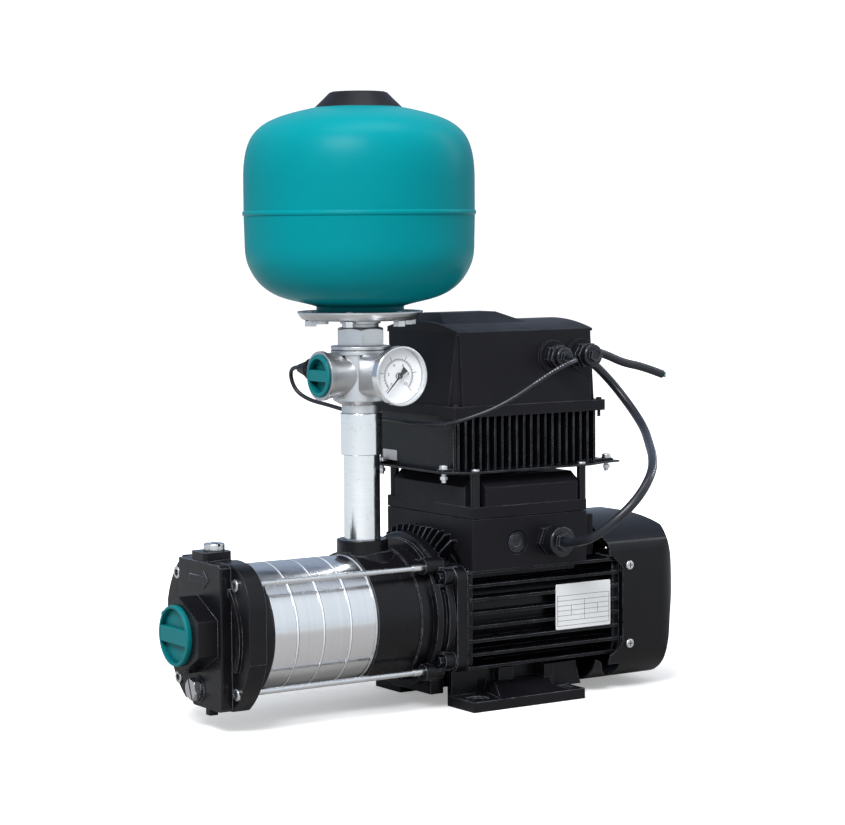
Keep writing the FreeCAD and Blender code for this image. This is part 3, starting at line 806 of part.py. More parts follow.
cap = cap.cut(turned([("line", [(0.0, 530.0), (0.0, 558.8), (13.1, 558.8)]), ("curve", offset_line(UP, -0.12)[:8]), ("line", [(97.6, 520.0), (60.0, 520.0)])])).cut(cz(13.5, 540, 559.0))

put("tank_cap", cap)


# --------------------------------------------------------------------- cables
ROUTES = {
    "motor_cable": (8.6, [(243.5, 22.0, 316.0), (274.3, 22.0, 315.2), (297.2, 16.0, 293.6), (307.9, -4.6, 267.2), (300.3, -38.3, 246.6), (274.2, -78.6, 235.3), (245.0, -121.1, 228.2), (217.1, -155.2, 216.5), (191.6, -165.7, 194.8), (168.9, -155.5, 172.4), (159.1, -129.4, 154.2), (159.0, -100.7, 152.0)]),
    "sensor_cable": (4.0, [(174.5, -84.4, 322.0), (174.5, -99.3, 320.5), (160.4, -108.0, 319.4), (141.4, -108.8, 312.4), (122.2, -105.2, 301.3), (103.7, -98.6, 288.7), (85.3, -89.3, 278.0), (68.2, -77.7, 270.4), (55.2, -63.5, 264.6), (47.3, -43.6, 263.2), (42.0, -20.9, 263.7), (37.7, 2.8, 264.9), (33.9, 26.5, 266.4), (30.0, 50.1, 268.4), (25.5, 73.3, 271.2), (20.2, 95.5, 275.1), (13.7, 115.7, 278.4), (7.7, 130.6, 286.1), (3.3, 134.3, 299.7), (0.0, 125.5, 310.6), (0.0, 110.0, 310.9)]),
    "mains_cable": (8.2, [(243.5, -14.0, 323.0), (257.5, -14.0, 322.4), (274.0, -13.6, 317.6), (293.0, -14.2, 309.6), (315.0, -17.0, 305.2), (337.0, -20.0, 297.0)]),
}
for nm, (d, pts) in ROUTES.items():
    put(nm, tube(nm, pts, d))

os.makedirs("parts", exist_ok=True)
names = sorted(out)
print(len(names), "nodes")
for n in names:
    s = out[n]
    s.translate(V(OX, 0, 0))
    if not s.isValid():
        print("INVALID", n)
    s.exportStep("parts/%s.step" % n)
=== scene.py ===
import bpy, bmesh, json, math, random
from mathutils import Vector, Matrix


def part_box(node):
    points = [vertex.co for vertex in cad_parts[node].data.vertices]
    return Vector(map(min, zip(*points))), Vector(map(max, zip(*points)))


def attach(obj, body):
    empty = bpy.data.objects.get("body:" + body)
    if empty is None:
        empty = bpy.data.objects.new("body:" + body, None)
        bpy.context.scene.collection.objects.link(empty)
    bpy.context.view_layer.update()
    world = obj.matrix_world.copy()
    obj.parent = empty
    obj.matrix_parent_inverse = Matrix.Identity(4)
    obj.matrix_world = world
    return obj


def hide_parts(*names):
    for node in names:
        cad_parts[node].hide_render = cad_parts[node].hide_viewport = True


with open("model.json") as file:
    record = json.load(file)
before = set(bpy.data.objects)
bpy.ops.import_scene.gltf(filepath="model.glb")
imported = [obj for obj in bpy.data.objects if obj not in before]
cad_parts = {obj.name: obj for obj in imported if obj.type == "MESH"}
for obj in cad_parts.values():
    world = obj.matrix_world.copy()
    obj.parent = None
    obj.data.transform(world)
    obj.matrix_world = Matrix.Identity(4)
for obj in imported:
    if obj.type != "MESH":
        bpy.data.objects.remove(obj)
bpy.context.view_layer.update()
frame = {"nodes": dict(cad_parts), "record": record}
N = frame["nodes"]
OX = -129.5                      # riser axis to row origin, mm
S = bpy.context.scene


def P(x, y, z):
    """Riser frame in millimetres to the row frame in metres."""
    return Vector(((x + OX) / 1000.0, y / 1000.0, z / 1000.0))


# --------------------------------------------------------------- camera, cords
AL, PI_, RO, FP = math.radians(33.2023), math.radians(4.3216), math.radians(-0.42365), 2524.626
Fw = Vector((math.sin(AL) * math.cos(PI_), math.cos(AL) * math.cos(PI_), -math.sin(PI_)))
R0 = Vector((math.cos(AL), -math.sin(AL), 0))
U0 = R0.cross(Fw)
Rt = R0 * math.cos(RO) + U0 * math.sin(RO)
Up = U0 * math.cos(RO) - R0 * math.sin(RO)
M = Matrix.Identity(4)
for i in range(3):
    M[i][0], M[i][1], M[i][2] = Rt[i], Up[i], -Fw[i]
M.translation = P(-1220.697, -1968.231, 448.505)
cam = bpy.data.cameras.new("camera")
cam.sensor_width = 36.0
cam.lens = FP / 845.0 * 36.0
cam.clip_start, cam.clip_end = 0.05, 60.0
cam_o = bpy.data.objects.new("camera", cam)
S.collection.objects.link(cam_o)
cam_o.matrix_world = M
S.camera = cam_o

MOTOR_ROUTE = [(243.5, 22.0, 316.0), (274.3, 22.0, 315.2), (297.2, 16.0, 293.6), (307.9, -4.6, 267.2), (300.3, -38.3, 246.6), (274.2, -78.6, 235.3), (245.0, -121.1, 228.2), (217.1, -155.2, 216.5), (191.6, -165.7, 194.8), (168.9, -155.5, 172.4), (159.1, -129.4, 154.2), (159.0, -100.7, 152.0)]
SENSOR_ROUTE = [(174.5, -84.4, 322.0), (174.5, -99.3, 320.5), (160.4, -108.0, 319.4), (141.4, -108.8, 312.4), (122.2, -105.2, 301.3), (103.7, -98.6, 288.7), (85.3, -89.3, 278.0), (68.2, -77.7, 270.4), (55.2, -63.5, 264.6), (47.3, -43.6, 263.2), (42.0, -20.9, 263.7), (37.7, 2.8, 264.9), (33.9, 26.5, 266.4), (30.0, 50.1, 268.4), (25.5, 73.3, 271.2), (20.2, 95.5, 275.1), (13.7, 115.7, 278.4), (7.7, 130.6, 286.1), (3.3, 134.3, 299.7), (0.0, 125.5, 310.6), (0.0, 110.0, 310.9)]
MAINS_ROUTE = [(243.5, -14.0, 323.0), (257.5, -14.0, 322.4), (274.0, -13.6, 317.6), (293.0, -14.2, 309.6), (315.0, -17.0, 305.2), (337.0, -20.0, 297.0)]


def link(o):
    S.collection.objects.link(o)
    return o


def cord_curve(name, pts, d, mat):
    c = bpy.data.curves.new(name, "CURVE")
    c.dimensions = "3D"
    s = c.splines.new("NURBS")
    s.points.add(len(pts) - 1)
    for q, p in zip(s.points, pts):
        v = P(*p)
        q.co = (v.x, v.y, v.z, 1.0)
    s.order_u = 3
    s.use_endpoint_u = True
    s.resolution_u = 14
    c.bevel_depth = d / 2000.0
    c.bevel_resolution = 6
    c.use_fill_caps = True
    c.materials.append(mat)
    return link(bpy.data.objects.new(name, c))


# ------------------------------------------------------------------- materials
class G:
    """A small helper for building node materials."""

    def __init__(self, name):
        self.m = bpy.data.materials.new(name)
        self.m.use_nodes = True
        self.t = self.m.node_tree
        self.b = self.t.nodes["Principled BSDF"]
        self.co = None

    def n(self, kind, **kw):
        x = self.t.nodes.new(kind)
        for k, v in kw.items():
            setattr(x, k, v)
        return x

    def l(self, a, b):
        self.t.links.new(a, b)

    def set(self, **kw):
        for k, v in kw.items():
            self.b.inputs[k.replace("_", " ")].default_value = v
        return self

    def coord(self):
        if self.co is None:
            self.co = self.n("ShaderNodeTexCoord").outputs["Object"]
        return self.co

    def scaled(self, sx, sy, sz, rot=(0, 0, 0)):
        mp = self.n("ShaderNodeMapping")
        mp.inputs["Scale"].default_value = (sx, sy, sz)
        mp.inputs["Rotation"].default_value = rot
        self.l(self.coord(), mp.inputs["Vector"])
        return mp.outputs["Vector"]

    def noise(self, scale, detail=3.0, rough=0.5, vec=None, dist=0.0):
        x = self.n("ShaderNodeTexNoise")
        x.inputs["Scale"].default_value = scale
        x.inputs["Detail"].default_value = detail
        x.inputs["Roughness"].default_value = rough
        x.inputs["Distortion"].default_value = dist
        self.l(vec or self.coord(), x.inputs["Vector"])
        return x.outputs["Fac"]

    def ramp(self, src, stops, interp="LINEAR"):
        x = self.n("ShaderNodeValToRGB")
        x.color_ramp.interpolation = interp
        e = x.color_ramp.elements
        e[0].position, e[1].position = stops[0][0], stops[-1][0]
        for p, _ in stops[1:-1]:
            e.new(p)
        for k, (p, c) in enumerate(stops):
            e[k].position = p
            e[k].color = (c, c, c, 1) if isinstance(c, (int, float)) else (*c, 1)
        self.l(src, x.inputs["Fac"])
        return x.outputs["Color"]

    def mixc(self, fac, a, b, mode="MIX"):
        x = self.n("ShaderNodeMix", data_type="RGBA", blend_type=mode)
        for s, v in ((x.inputs[0], fac), (x.inputs[6], a), (x.inputs[7], b)):
            if isinstance(v, (int, float)):
                s.default_value = v
            elif isinstance(v, tuple):
                s.default_value = (*v, 1)
            else:
                self.l(v, s)
        return x.outputs[2]

    def maths(self, op, a, b=0.0, c=None, clamp=False):
        x = self.n("ShaderNodeMath", operation=op, use_clamp=clamp)
        for s, v in zip(x.inputs, (a, b, c)):
            if v is None:
                continue
            if isinstance(v, (int, float)):
                s.default_value = v
            else:
                self.l(v, s)
        return x.outputs[0]

    def bump(self, h, strength, dist, normal=None):
        x = self.n("ShaderNodeBump")
        x.inputs["Strength"].default_value = strength
        x.inputs["Distance"].default_value = dist
        self.l(h, x.inputs["Height"])
        if normal is not None:
            self.l(normal, x.inputs["Normal"])
        return x.outputs["Normal"]

    def bevel(self, r, samples=4):
        x = self.n("ShaderNodeBevel", samples=samples)
        x.inputs["Radius"].default_value = r
        return x.outputs["Normal"]

    def edge(self, r):
        """Mask that is bright near convex or concave edges: the rounded normal differs from the face normal."""
        geo = self.n("ShaderNodeNewGeometry").outputs["Normal"]
        x = self.n("ShaderNodeVectorMath", operation="DOT_PRODUCT")
        self.l(self.bevel(r), x.inputs[0])
        self.l(geo, x.inputs[1])
        return x.outputs["Value"]

    def occlusion_shade(self, d):
        """Low in recesses and corners, where light doesn't reach: used to paint shade there."""
        x = self.n("ShaderNodeAmbientOcclusion", samples=4)
        x.inputs["Distance"].default_value = d
        return x.outputs["AO"]

    def sep(self):
        x = self.n("ShaderNodeSeparateXYZ")
        self.l(self.coord(), x.inputs[0])
        return x.outputs

    def color(self, c):
        self.l(c, self.b.inputs["Base Color"]) if not isinstance(c, tuple) else self.b.inputs["Base Color"].__setattr__("default_value", (*c, 1))

    def rough(self, c):
        self.l(c, self.b.inputs["Roughness"])

    def normal(self, c):
        self.l(c, self.b.inputs["Normal"])


def painted(name, base, tint, r0, r1, cast=0.0, orange=0.12, bev=0.0006, coat=0.0, edge_glint=(0.34, 0.365, 0.43), edge_glint_amt=0.75, spec=0.14, er=0.0008, ao=0.0):
    g = G(name)
    n1 = g.noise(9.0, 4.0, 0.55)
    n2 = g.noise(420.0, 3.0, 0.5)
    c = g.mixc(g.ramp(n1, [(0.35, 0.0), (0.7, 1.0)]), base, tint)
    # painted highlight: a bright bluish colour laid on rounded edges, patchy by noise
    if edge_glint_amt:
        e = g.ramp(g.edge(er), [(0.86, 1.0), (0.97, 0.0)])
        e = g.mixc(1.0, e, g.ramp(g.noise(60.0, 4.0, 0.6), [(0.34, 0.12 * edge_glint_amt), (0.60, edge_glint_amt)]), "MULTIPLY")
        c = g.mixc(e, c, edge_glint)
    # painted shade: the colour darkens in recesses and corners by ambient occlusion
    if ao:
        c = g.mixc(g.ramp(g.occlusion_shade(ao), [(0.25, 1.0), (0.85, 0.0)]), c, tuple(0.22 * q for q in base))
    g.color(c)
    g.rough(g.ramp(g.noise(26.0, 5.0, 0.6), [(0.3, r0), (0.72, r1)]))
    h = n2
    nrm = g.bump(g.noise(1500.0, 2.0, 0.5), orange, 0.0002, g.bevel(bev) if bev else None)
    if cast:
        nrm = g.bump(n2, cast, 0.0006, nrm)
    g.normal(nrm)
    g.set(Specular_IOR_Level=spec)
    if coat:
        g.set(Coat_Weight=coat, Coat_Roughness=0.08)
    return g.m


def metal(name, base, dark, r0, r1, streak=None, grain=0.05, bev=0.0004, metallic=1.0, aniso=0.0, spots=True, ao=0.0):
    g = G(name)
    n1 = g.noise(14.0, 4.0, 0.6)
    c = g.mixc(g.ramp(n1, [(0.3, 0.0), (0.75, 1.0)]), dark, base)
    if spots:
        sp = g.ramp(g.noise(190.0, 3.0, 0.6), [(0.60, 0.0), (0.78, 0.35)])
        c = g.mixc(sp, c, tuple(0.55 * q for q in dark))
    # painted shade: the colour darkens in recesses and corners by ambient occlusion
    if ao:
        c = g.mixc(g.ramp(g.occlusion_shade(ao), [(0.25, 1.0), (0.80, 0.0)]), c, tuple(0.10 * q for q in dark))
    g.color(c)
    nrm = g.bevel(bev) if bev else None
    if streak:
        v = g.scaled(*streak)
        s = g.noise(1.0, 5.0, 0.65, v)
        g.rough(g.ramp(s, [(0.3, r0), (0.7, r1)]))
        nrm = g.bump(s, grain, 0.00012, nrm)
    else:
        g.rough(g.ramp(g.noise(70.0, 4.0, 0.6), [(0.3, r0), (0.7, r1)]))
        nrm = g.bump(g.noise(900.0, 3.0, 0.6), grain, 0.0002, nrm)
    g.normal(nrm)
    g.set(Metallic=metallic, Anisotropic=aniso)
    return g.m


MAT = {}
MAT["black_casting"] = painted("black_casting", (0.0028, 0.0027, 0.0036), (0.0066, 0.0063, 0.0080), 0.22, 0.38, cast=0.26, orange=0.10, spec=0.24)
MAT["black_aluminium"] = painted("black_aluminium", (0.0024, 0.0024, 0.0032), (0.0044, 0.0043, 0.0056), 0.22, 0.34, cast=0.10, orange=0.08, spec=0.20, edge_glint_amt=0.55)
MAT["black_sheet"] = painted("black_sheet", (0.0040, 0.0038, 0.0048), (0.0062, 0.0059, 0.0074), 0.18, 0.28, cast=0.0, orange=0.06, edge_glint_amt=0.45, spec=0.24)
MAT["black_plastic"] = painted("black_plastic", (0.0072, 0.0068, 0.0092), (0.0100, 0.0095, 0.0125), 0.38, 0.50, cast=0.05, orange=0.16, edge_glint_amt=0.22)
MAT["teal_enamel"] = painted("teal_enamel", (0.0, 0.228, 0.262), (0.0, 0.212, 0.244), 0.31, 0.38, cast=0.0, orange=0.04, bev=0.0004, edge_glint=(0.0, 0.34, 0.37), edge_glint_amt=0.15, spec=0.065)
MAT["teal_plastic"] = painted("teal_plastic", (0.0, 0.150, 0.168), (0.0, 0.172, 0.190), 0.34, 0.46, orange=0.16, edge_glint=(0.05, 0.33, 0.35), edge_glint_amt=0.5, spec=0.2, ao=0.006)
g = G("barrel_steel")
px = g.sep()[0]
bead_highlight = None
for x_ in (-102.8, -75.7, -47.5, -20.4):
    m_ = g.maths("COMPARE", px, (x_ - 0.75 + OX) / 1000.0, 0.00085)
    bead_highlight = m_ if bead_highlight is None else g.maths("MAXIMUM", bead_highlight, m_)
seam = None
for x_ in (-102.8, -75.7, -47.5):
    m_ = g.maths("COMPARE", px, (x_ + 0.45 + OX) / 1000.0, 0.00035)
    seam = m_ if seam is None else g.maths("MAXIMUM", seam, m_)
c = g.mixc(g.ramp(g.noise(6.0, 4.0, 0.6, g.scaled(30.0, 1.0, 1.0)), [(0.3, 0.0), (0.7, 1.0)]), (0.70, 0.70, 0.71), (0.75, 0.75, 0.76))
# painted highlight: the bead rings get a near-white, rougher metal colour so they read as bright lines
c = g.mixc(bead_highlight, c, (0.97, 0.98, 1.0))
c = g.mixc(seam, c, (0.30, 0.31, 0.33))
g.color(c)
sv = g.noise(1.0, 5.0, 0.65, g.scaled(2600.0, 5.0, 5.0))
g.rough(g.mixc(bead_highlight, g.ramp(sv, [(0.3, 0.15), (0.7, 0.25)]), (0.62, 0.62, 0.62)))
g.normal(g.bump(sv, 0.05, 0.00012, g.bevel(0.0004)))
g.set(Metallic=1.0, Anisotropic=0.3)
MAT["barrel_steel"] = g.m
MAT["steel"] = metal("steel", (0.74, 0.74, 0.75), (0.56, 0.56, 0.57), 0.20, 0.34, ao=0.004)
MAT["shaft_steel"] = metal("shaft_steel", (0.62, 0.62, 0.63), (0.50, 0.50, 0.51), 0.15, 0.26, streak=(2200.0, 20.0, 20.0), grain=0.05)
MAT["grey_casting"] = metal("grey_casting", (0.66, 0.665, 0.67), (0.48, 0.485, 0.495), 0.26, 0.44, grain=0.40, bev=0.0010, ao=0.004)
MAT["galvanised_pipe"] = metal("galvanised_pipe", (0.86, 0.87, 0.88), (0.78, 0.79, 0.80), 0.12, 0.22, streak=(90.0, 90.0, 900.0), grain=0.03, bev=0.0003)
MAT["gauge_bezel"] = metal("gauge_bezel", (0.80, 0.80, 0.80), (0.70, 0.70, 0.71), 0.10, 0.20, spots=False)
MAT["gauge_black"] = painted("gauge_black", (0.012, 0.012, 0.012), (0.018, 0.018, 0.018), 0.35, 0.45, edge_glint_amt=0.0)
MAT["gauge_white"] = painted("gauge_white", (0.88, 0.91, 0.95), (0.93, 0.95, 0.98), 0.38, 0.48, orange=0.02, edge_glint_amt=0.0, spec=0.2)
MAT["label_white"] = painted("label_white", (0.92, 0.93, 0.94), (0.96, 0.97, 0.97), 0.40, 0.52, orange=0.05, edge_glint_amt=0.0, spec=0.3)
MAT["print_grey"] = painted("print_grey", (0.035, 0.037, 0.042), (0.060, 0.062, 0.068), 0.45, 0.55, orange=0.03, edge_glint_amt=0.0)
MAT["core_blue"] = painted("core_blue", (0.05, 0.30, 0.50), (0.08, 0.34, 0.54), 0.35, 0.45, orange=0.06, edge_glint_amt=0.0, spec=0.3)
MAT["core_brown"] = painted("core_brown", (0.16, 0.06, 0.025), (0.20, 0.08, 0.035), 0.35, 0.45, orange=0.06, edge_glint_amt=0.0, spec=0.3)
MAT["core_green"] = painted("core_green", (0.10, 0.42, 0.30), (0.16, 0.50, 0.34), 0.35, 0.45, orange=0.06, edge_glint_amt=0.0, spec=0.3)
MAT["rubber_black"] = painted("rubber_black", (0.014, 0.014, 0.014), (0.022, 0.022, 0.022), 0.60, 0.75, cast=0.1, edge_glint_amt=0.0)
MAT["copper"] = metal("copper", (0.60, 0.27, 0.14), (0.42, 0.17, 0.08), 0.30, 0.45, streak=(20.0, 2500.0, 2500.0), grain=0.4)
MAT["lamination_steel"] = metal("lamination_steel", (0.30, 0.30, 0.31), (0.20, 0.20, 0.21), 0.35, 0.50, streak=(2000.0, 4.0, 4.0), grain=0.5)
MAT["impeller_steel"] = metal("impeller_steel", (0.70, 0.70, 0.71), (0.58, 0.58, 0.60), 0.20, 0.30)
MAT["board_green"] = painted("board_green", (0.01, 0.12, 0.05), (0.02, 0.16, 0.07), 0.30, 0.42, edge_glint_amt=0.0)
MAT["key_grey"] = painted("key_grey", (0.28, 0.29, 0.31), (0.32, 0.33, 0.35), 0.42, 0.52, orange=0.2, edge_glint_amt=0.1)
MAT["plate_aluminium"] = metal("plate_aluminium", (0.86, 0.87, 0.88), (0.80, 0.81, 0.82), 0.36, 0.46, streak=(40.0, 40.0, 1600.0), grain=0.03, metallic=0.12)
MAT["ceramic"] = painted("ceramic", (0.70, 0.68, 0.62), (0.74, 0.72, 0.66), 0.15, 0.22, edge_glint_amt=0.0)
g = G("gauge_glass")
g.set(Roughness=0.03, IOR=1.45, Alpha=0.025, Metallic=0.0, Specular_IOR_Level=0.5)
g.color((1.0, 1.0, 1.0))
g.normal(g.bump(g.noise(12.0, 2.0, 0.5), 0.02, 0.0002))
MAT["gauge_glass"] = g.m
# cable sheath: satin black with a faint mottled tone and fine bump; its print marks are separate pieces
g = G("cable_black")
g.color(g.mixc(g.ramp(g.noise(40.0, 3.0, 0.5), [(0.35, 0.0), (0.7, 1.0)]), (0.0085, 0.0095, 0.0135), (0.0150, 0.0170, 0.0240)))
g.rough(g.ramp(g.noise(160.0, 4.0, 0.6), [(0.3, 0.28), (0.7, 0.42)]))
g.normal(g.bump(g.noise(700.0, 2.0, 0.5), 0.10, 0.0003))
g.set(Specular_IOR_Level=0.45)
MAT["cable_black"] = g.m
MAT["gland_nylon"] = painted("gland_nylon", (0.0052, 0.0052, 0.0068), (0.0080, 0.0082, 0.0105), 0.16, 0.26, orange=0.06, edge_glint=(0.16, 0.18, 0.24), edge_glint_amt=0.8, spec=0.42, er=0.0010)
MAT["cable_print"] = painted("cable_print", (0.50, 0.52, 0.56), (0.60, 0.62, 0.66), 0.45, 0.55, orange=0.03, edge_glint_amt=0.0)

for row in frame["record"]["subparts"]:
    o = N[row["node"]]
    o.data.materials.clear()
    o.data.materials.append(MAT[row["material_slot"]])

N["cable_glands"].data.materials[0] = MAT["gland_nylon"]

# ----------------------------------------------------------------------- cords
motor = cord_curve("motor_cable_run", MOTOR_ROUTE, 8.6, MAT["cable_black"])
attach(motor, "station"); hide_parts("motor_cable")
sensor = cord_curve("sensor_cable_run", SENSOR_ROUTE, 4.0, MAT["cable_black"])
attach(sensor, "station"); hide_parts("sensor_cable")
mains = cord_curve("mains_cable_stub", MAINS_ROUTE, 8.2, MAT["cable_black"])
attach(mains, "station"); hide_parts("mains_cable")

# Cut end of the mains lead: three insulated cores flush with the sheath end.
def spline_line(o):
    """Points along a cord's own spline, read from its curve with no bevel."""
    c = o.data.copy()
    c.bevel_depth = 0.0
    q = bpy.data.objects.new("line_probe", c)
    me = bpy.data.meshes.new_from_object(q)
    pts = [v.co.copy() for v in me.vertices]
    bpy.data.objects.remove(q); bpy.data.curves.remove(c); bpy.data.meshes.remove(me)
    return pts


def mesh_piece(name, build, mat, body="station", smooth=False):
    me = bpy.data.meshes.new(name)
    bm = bmesh.new()
    build(bm)
    bmesh.ops.recalc_face_normals(bm, faces=bm.faces[:])
    bm.to_mesh(me); bm.free()
    me.materials.append(MAT[mat])
    if smooth:
        for f in me.polygons:
            f.use_smooth = True
    o = link(bpy.data.objects.new(name, me))
    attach(o, body)
    return o


def rod(bm, a, b, r, n=20, r2=None):
    """A capped round bar from a to b with softly chamfered ends."""
    d = (b - a).normalized()
    u = d.orthogonal().normalized()
    v = d.cross(u)
    r2 = r if r2 is None else r2
    c = min(r, (b - a).length) * 0.18
    rings = []
    for p, q in ((a, r - c), (a + d * c, r), (b - d * c, r2), (b, r2 - c)):
        rings.append([bm.verts.new(p + (u * math.cos(t) + v * math.sin(t)) * q) for t in (2 * math.pi * k / n for k in range(n))])
    for A, B in zip(rings, rings[1:]):
        for k in range(n):
            bm.faces.new((A[k], A[(k + 1) % n], B[(k + 1) % n], B[k]))
    bm.faces.new(rings[0]); bm.faces.new(rings[-1])


def slab(bm, O, u, v, n, hu, hv, th, r, seg=6):
    """A thin rounded rectangle of half sizes hu, hv at O, th thick along n."""
    pts = []
    for cx, cy, a0 in ((hu - r, hv - r, 0), (-hu + r, hv - r, 90), (-hu + r, -hv + r, 180), (hu - r, -hv + r, 270)):
        for k in range(seg + 1):
            a = math.radians(a0 + 90.0 * k / seg)
            pts.append((cx + r * math.cos(a), cy + r * math.sin(a)))
    A = [bm.verts.new(O + u * x + v * y) for x, y in pts]
    B = [bm.verts.new(O + u * x + v * y + n * th * 0.7) for x, y in pts]
    k_ = 1 - 0.4 * th / max(hu, hv)
    C = [bm.verts.new(O + u * x * k_ + v * y * k_ + n * th) for x, y in pts]
    m = len(pts)
    for P_, Q_ in ((A, B), (B, C)):
        for k in range(m):
            bm.faces.new((P_[k], P_[(k + 1) % m], Q_[(k + 1) % m], Q_[k]))
    bm.faces.new(A); bm.faces.new(C)


line = spline_line(mains)
E1, D1 = line[-1], (line[-1] - line[-2]).normalized()
U1 = D1.cross(Vector((0, 0, 1))).normalized(); V1 = U1.cross(D1)
for name, ang, mat in (("mains_core_a", 90, "core_blue"), ("mains_core_b", 210, "core_brown"), ("mains_core_c", 330, "core_green")):
    off = (U1 * math.cos(math.radians(ang)) + V1 * math.sin(math.radians(ang))) * 0.00175
    mesh_piece(name, lambda bm, o=off: rod(bm, E1 + o - D1 * 0.004, E1 + o + D1 * 0.0032, 0.00135), mat, smooth=False)


def strip(bm, pts, r, s0, s1, pitch, w, face):
    """A broken line of flat marks printed along a cord, between two arc lengths."""
    rnd = random.Random(7)
    L = [0.0]
    for a, b in zip(pts, pts[1:]):
        L.append(L[-1] + (b - a).length)

    def along(d):
        for k in range(len(pts) - 1):
            if L[k + 1] >= d:
                return pts[k].lerp(pts[k + 1], (d - L[k]) / max(L[k + 1] - L[k], 1e-9)), (pts[k + 1] - pts[k]).normalized()
        return pts[-1], (pts[-1] - pts[-2]).normalized()
    d = s0
    while d < s1:
        ln = pitch * rnd.uniform(0.28, 0.62)
        hw = w * rnd.uniform(0.55, 1.0)
        rows = []
        for q in (d, d + ln):
            c, t = along(q)
            o = (face - t * face.dot(t)).normalized()
            side = t.cross(o)
            row = []
            for a in (-hw / r, 0.0, hw / r):
                row.append((c + (o * math.cos(a) + side * math.sin(a)) * r, o * math.cos(a) + side * math.sin(a)))
            rows.append(row)
        lo_ = [[bm.verts.new(p_ - n_ * 0.00005) for p_, n_ in row] for row in rows]
        hi_ = [[bm.verts.new(p_ + n_ * 0.00006) for p_, n_ in row] for row in rows]
        for j in range(2):
            bm.faces.new((hi_[0][j], hi_[0][j + 1], hi_[1][j + 1], hi_[1][j]))
            bm.faces.new((lo_[0][j], lo_[1][j], lo_[1][j + 1], lo_[0][j + 1]))
            for k in range(2):
                bm.faces.new((lo_[k][j], lo_[k][j + 1], hi_[k][j + 1], hi_[k][j]))
        for j in (0, 2):
            bm.faces.new((lo_[0][j], hi_[0][j], hi_[1][j], lo_[1][j]))
        d += pitch


ml = spline_line(motor)
motor_print = mesh_piece("motor_cable_print", lambda bm: strip(bm, ml, 0.0043, 0.135, 0.285, 0.0042, 0.0010, Vector((0.10, -0.90, 0.35))), "cable_print")
slr = spline_line(sensor)
sensor_print = mesh_piece("sensor_cable_print", lambda bm: strip(bm, slr, 0.0020, 0.022, 0.075, 0.0030, 0.0005, Vector((-0.3, -0.75, 0.55))), "cable_print")


# ---------------------------------------------------------------- gauge dial
LO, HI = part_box("gauge_lens")
GC = Vector(((LO[0] + HI[0]) / 2, 0, (LO[2] + HI[2]) / 2))
DY = -0.0641                                            # face of the dial, m
AX, AZ = Vector((1, 0, 0)), Vector((0, 0, 1))


def dial(bm):
    n = 96
    rings = []
    for r, y in ((0.0012, DY), (0.0240, DY), (0.0246, DY + 0.0002), (0.0246, DY + 0.0005), (0.0012, DY + 0.0005)):
        rings.append([bm.verts.new(Vector((GC.x + r * math.cos(2 * math.pi * k / n), y, GC.z + r * math.sin(2 * math.pi * k / n)))) for k in range(n)])
    for A, B in zip(rings, rings[1:] + rings[:1]):
        for k in range(n):
            bm.faces.new((A[k], A[(k + 1) % n], B[(k + 1) % n], B[k]))


def at(r, deg, y=DY):
    a = math.radians(deg)
    return Vector((GC.x + r * math.sin(a), y, GC.z + r * math.cos(a)))


def tick(bm, r0, r1, deg, w):
    a = math.radians(deg)
    t = Vector((math.cos(a), 0, -math.sin(a))) * (w / 2)
    q = [at(r0, deg) - t, at(r1, deg) - t, at(r1, deg) + t, at(r0, deg) + t]
    A = [bm.verts.new(p) for p in q]
    B = [bm.verts.new(p - Vector((0, 0.00006, 0))) for p in q]
    for k in range(4):
        bm.faces.new((A[k], A[(k + 1) % 4], B[(k + 1) % 4], B[k]))
    bm.faces.new(B); bm.faces.new(A)


def arc(bm, r, w, a0, a1, n=90):
    prev = None
    for k in range(n + 1):
        d = a0 + (a1 - a0) * k / n
        cur = [bm.verts.new(p) for p in (at(r - w / 2, d), at(r + w / 2, d), at(r + w / 2, d, DY - 0.00006), at(r - w / 2, d, DY - 0.00006))]
        if prev:
            for j in range(4):
                bm.faces.new((prev[j], prev[(j + 1) % 4], cur[(j + 1) % 4], cur[j]))
        else:
            bm.faces.new(cur)
        prev = cur
    bm.faces.new(prev)


def scale_marks(bm):
    for k in range(71):
        tick(bm, 0.0134, 0.0150, -135 + 270 * k / 70.0, 0.00034)
    arc(bm, 0.0151, 0.00040, -135, 135)
    for k in range(6):
        tick(bm, 0.0151, 0.0194, -135 + 54 * k, 0.00050)
    for k in range(26):
        if k % 5:
            tick(bm, 0.0151, 0.0164, -135 + 10.8 * k, 0.00030)
    arc(bm, 0.0026, 0.0009, -178, 178, 40)


mesh_piece("gauge_dial", dial, "gauge_white")
mesh_piece("gauge_scale", scale_marks, "print_grey")
for k in range(6):
    c = bpy.data.curves.new("gauge_number_%d" % k, "FONT")
    c.body = str(2 * k)
    c.size = 0.0040
    c.align_x, c.align_y = "CENTER", "CENTER"
    c.extrude = 0.00004
    c.materials.append(MAT["print_grey"])
    o = link(bpy.data.objects.new("gauge_number_%d" % k, c))
    q = at(0.0106, -135 + 54 * k, DY - 0.00003)
    o.matrix_world = Matrix.Translation(q) @ Matrix.Rotation(math.radians(90), 4, "X")
    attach(o, "station")

# ------------------------------------------------ blank label, ruled nameplate
mesh_piece("heatsink_label", lambda bm: slab(bm, P(61.5, 47.8, 228.2), Vector((0, 1, 0)), Vector((0, 0, 1)), Vector((-1, 0, 0)), 0.0122, 0.0049, 0.00022, 0.0008), "label_white")
nl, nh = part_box("nameplate")


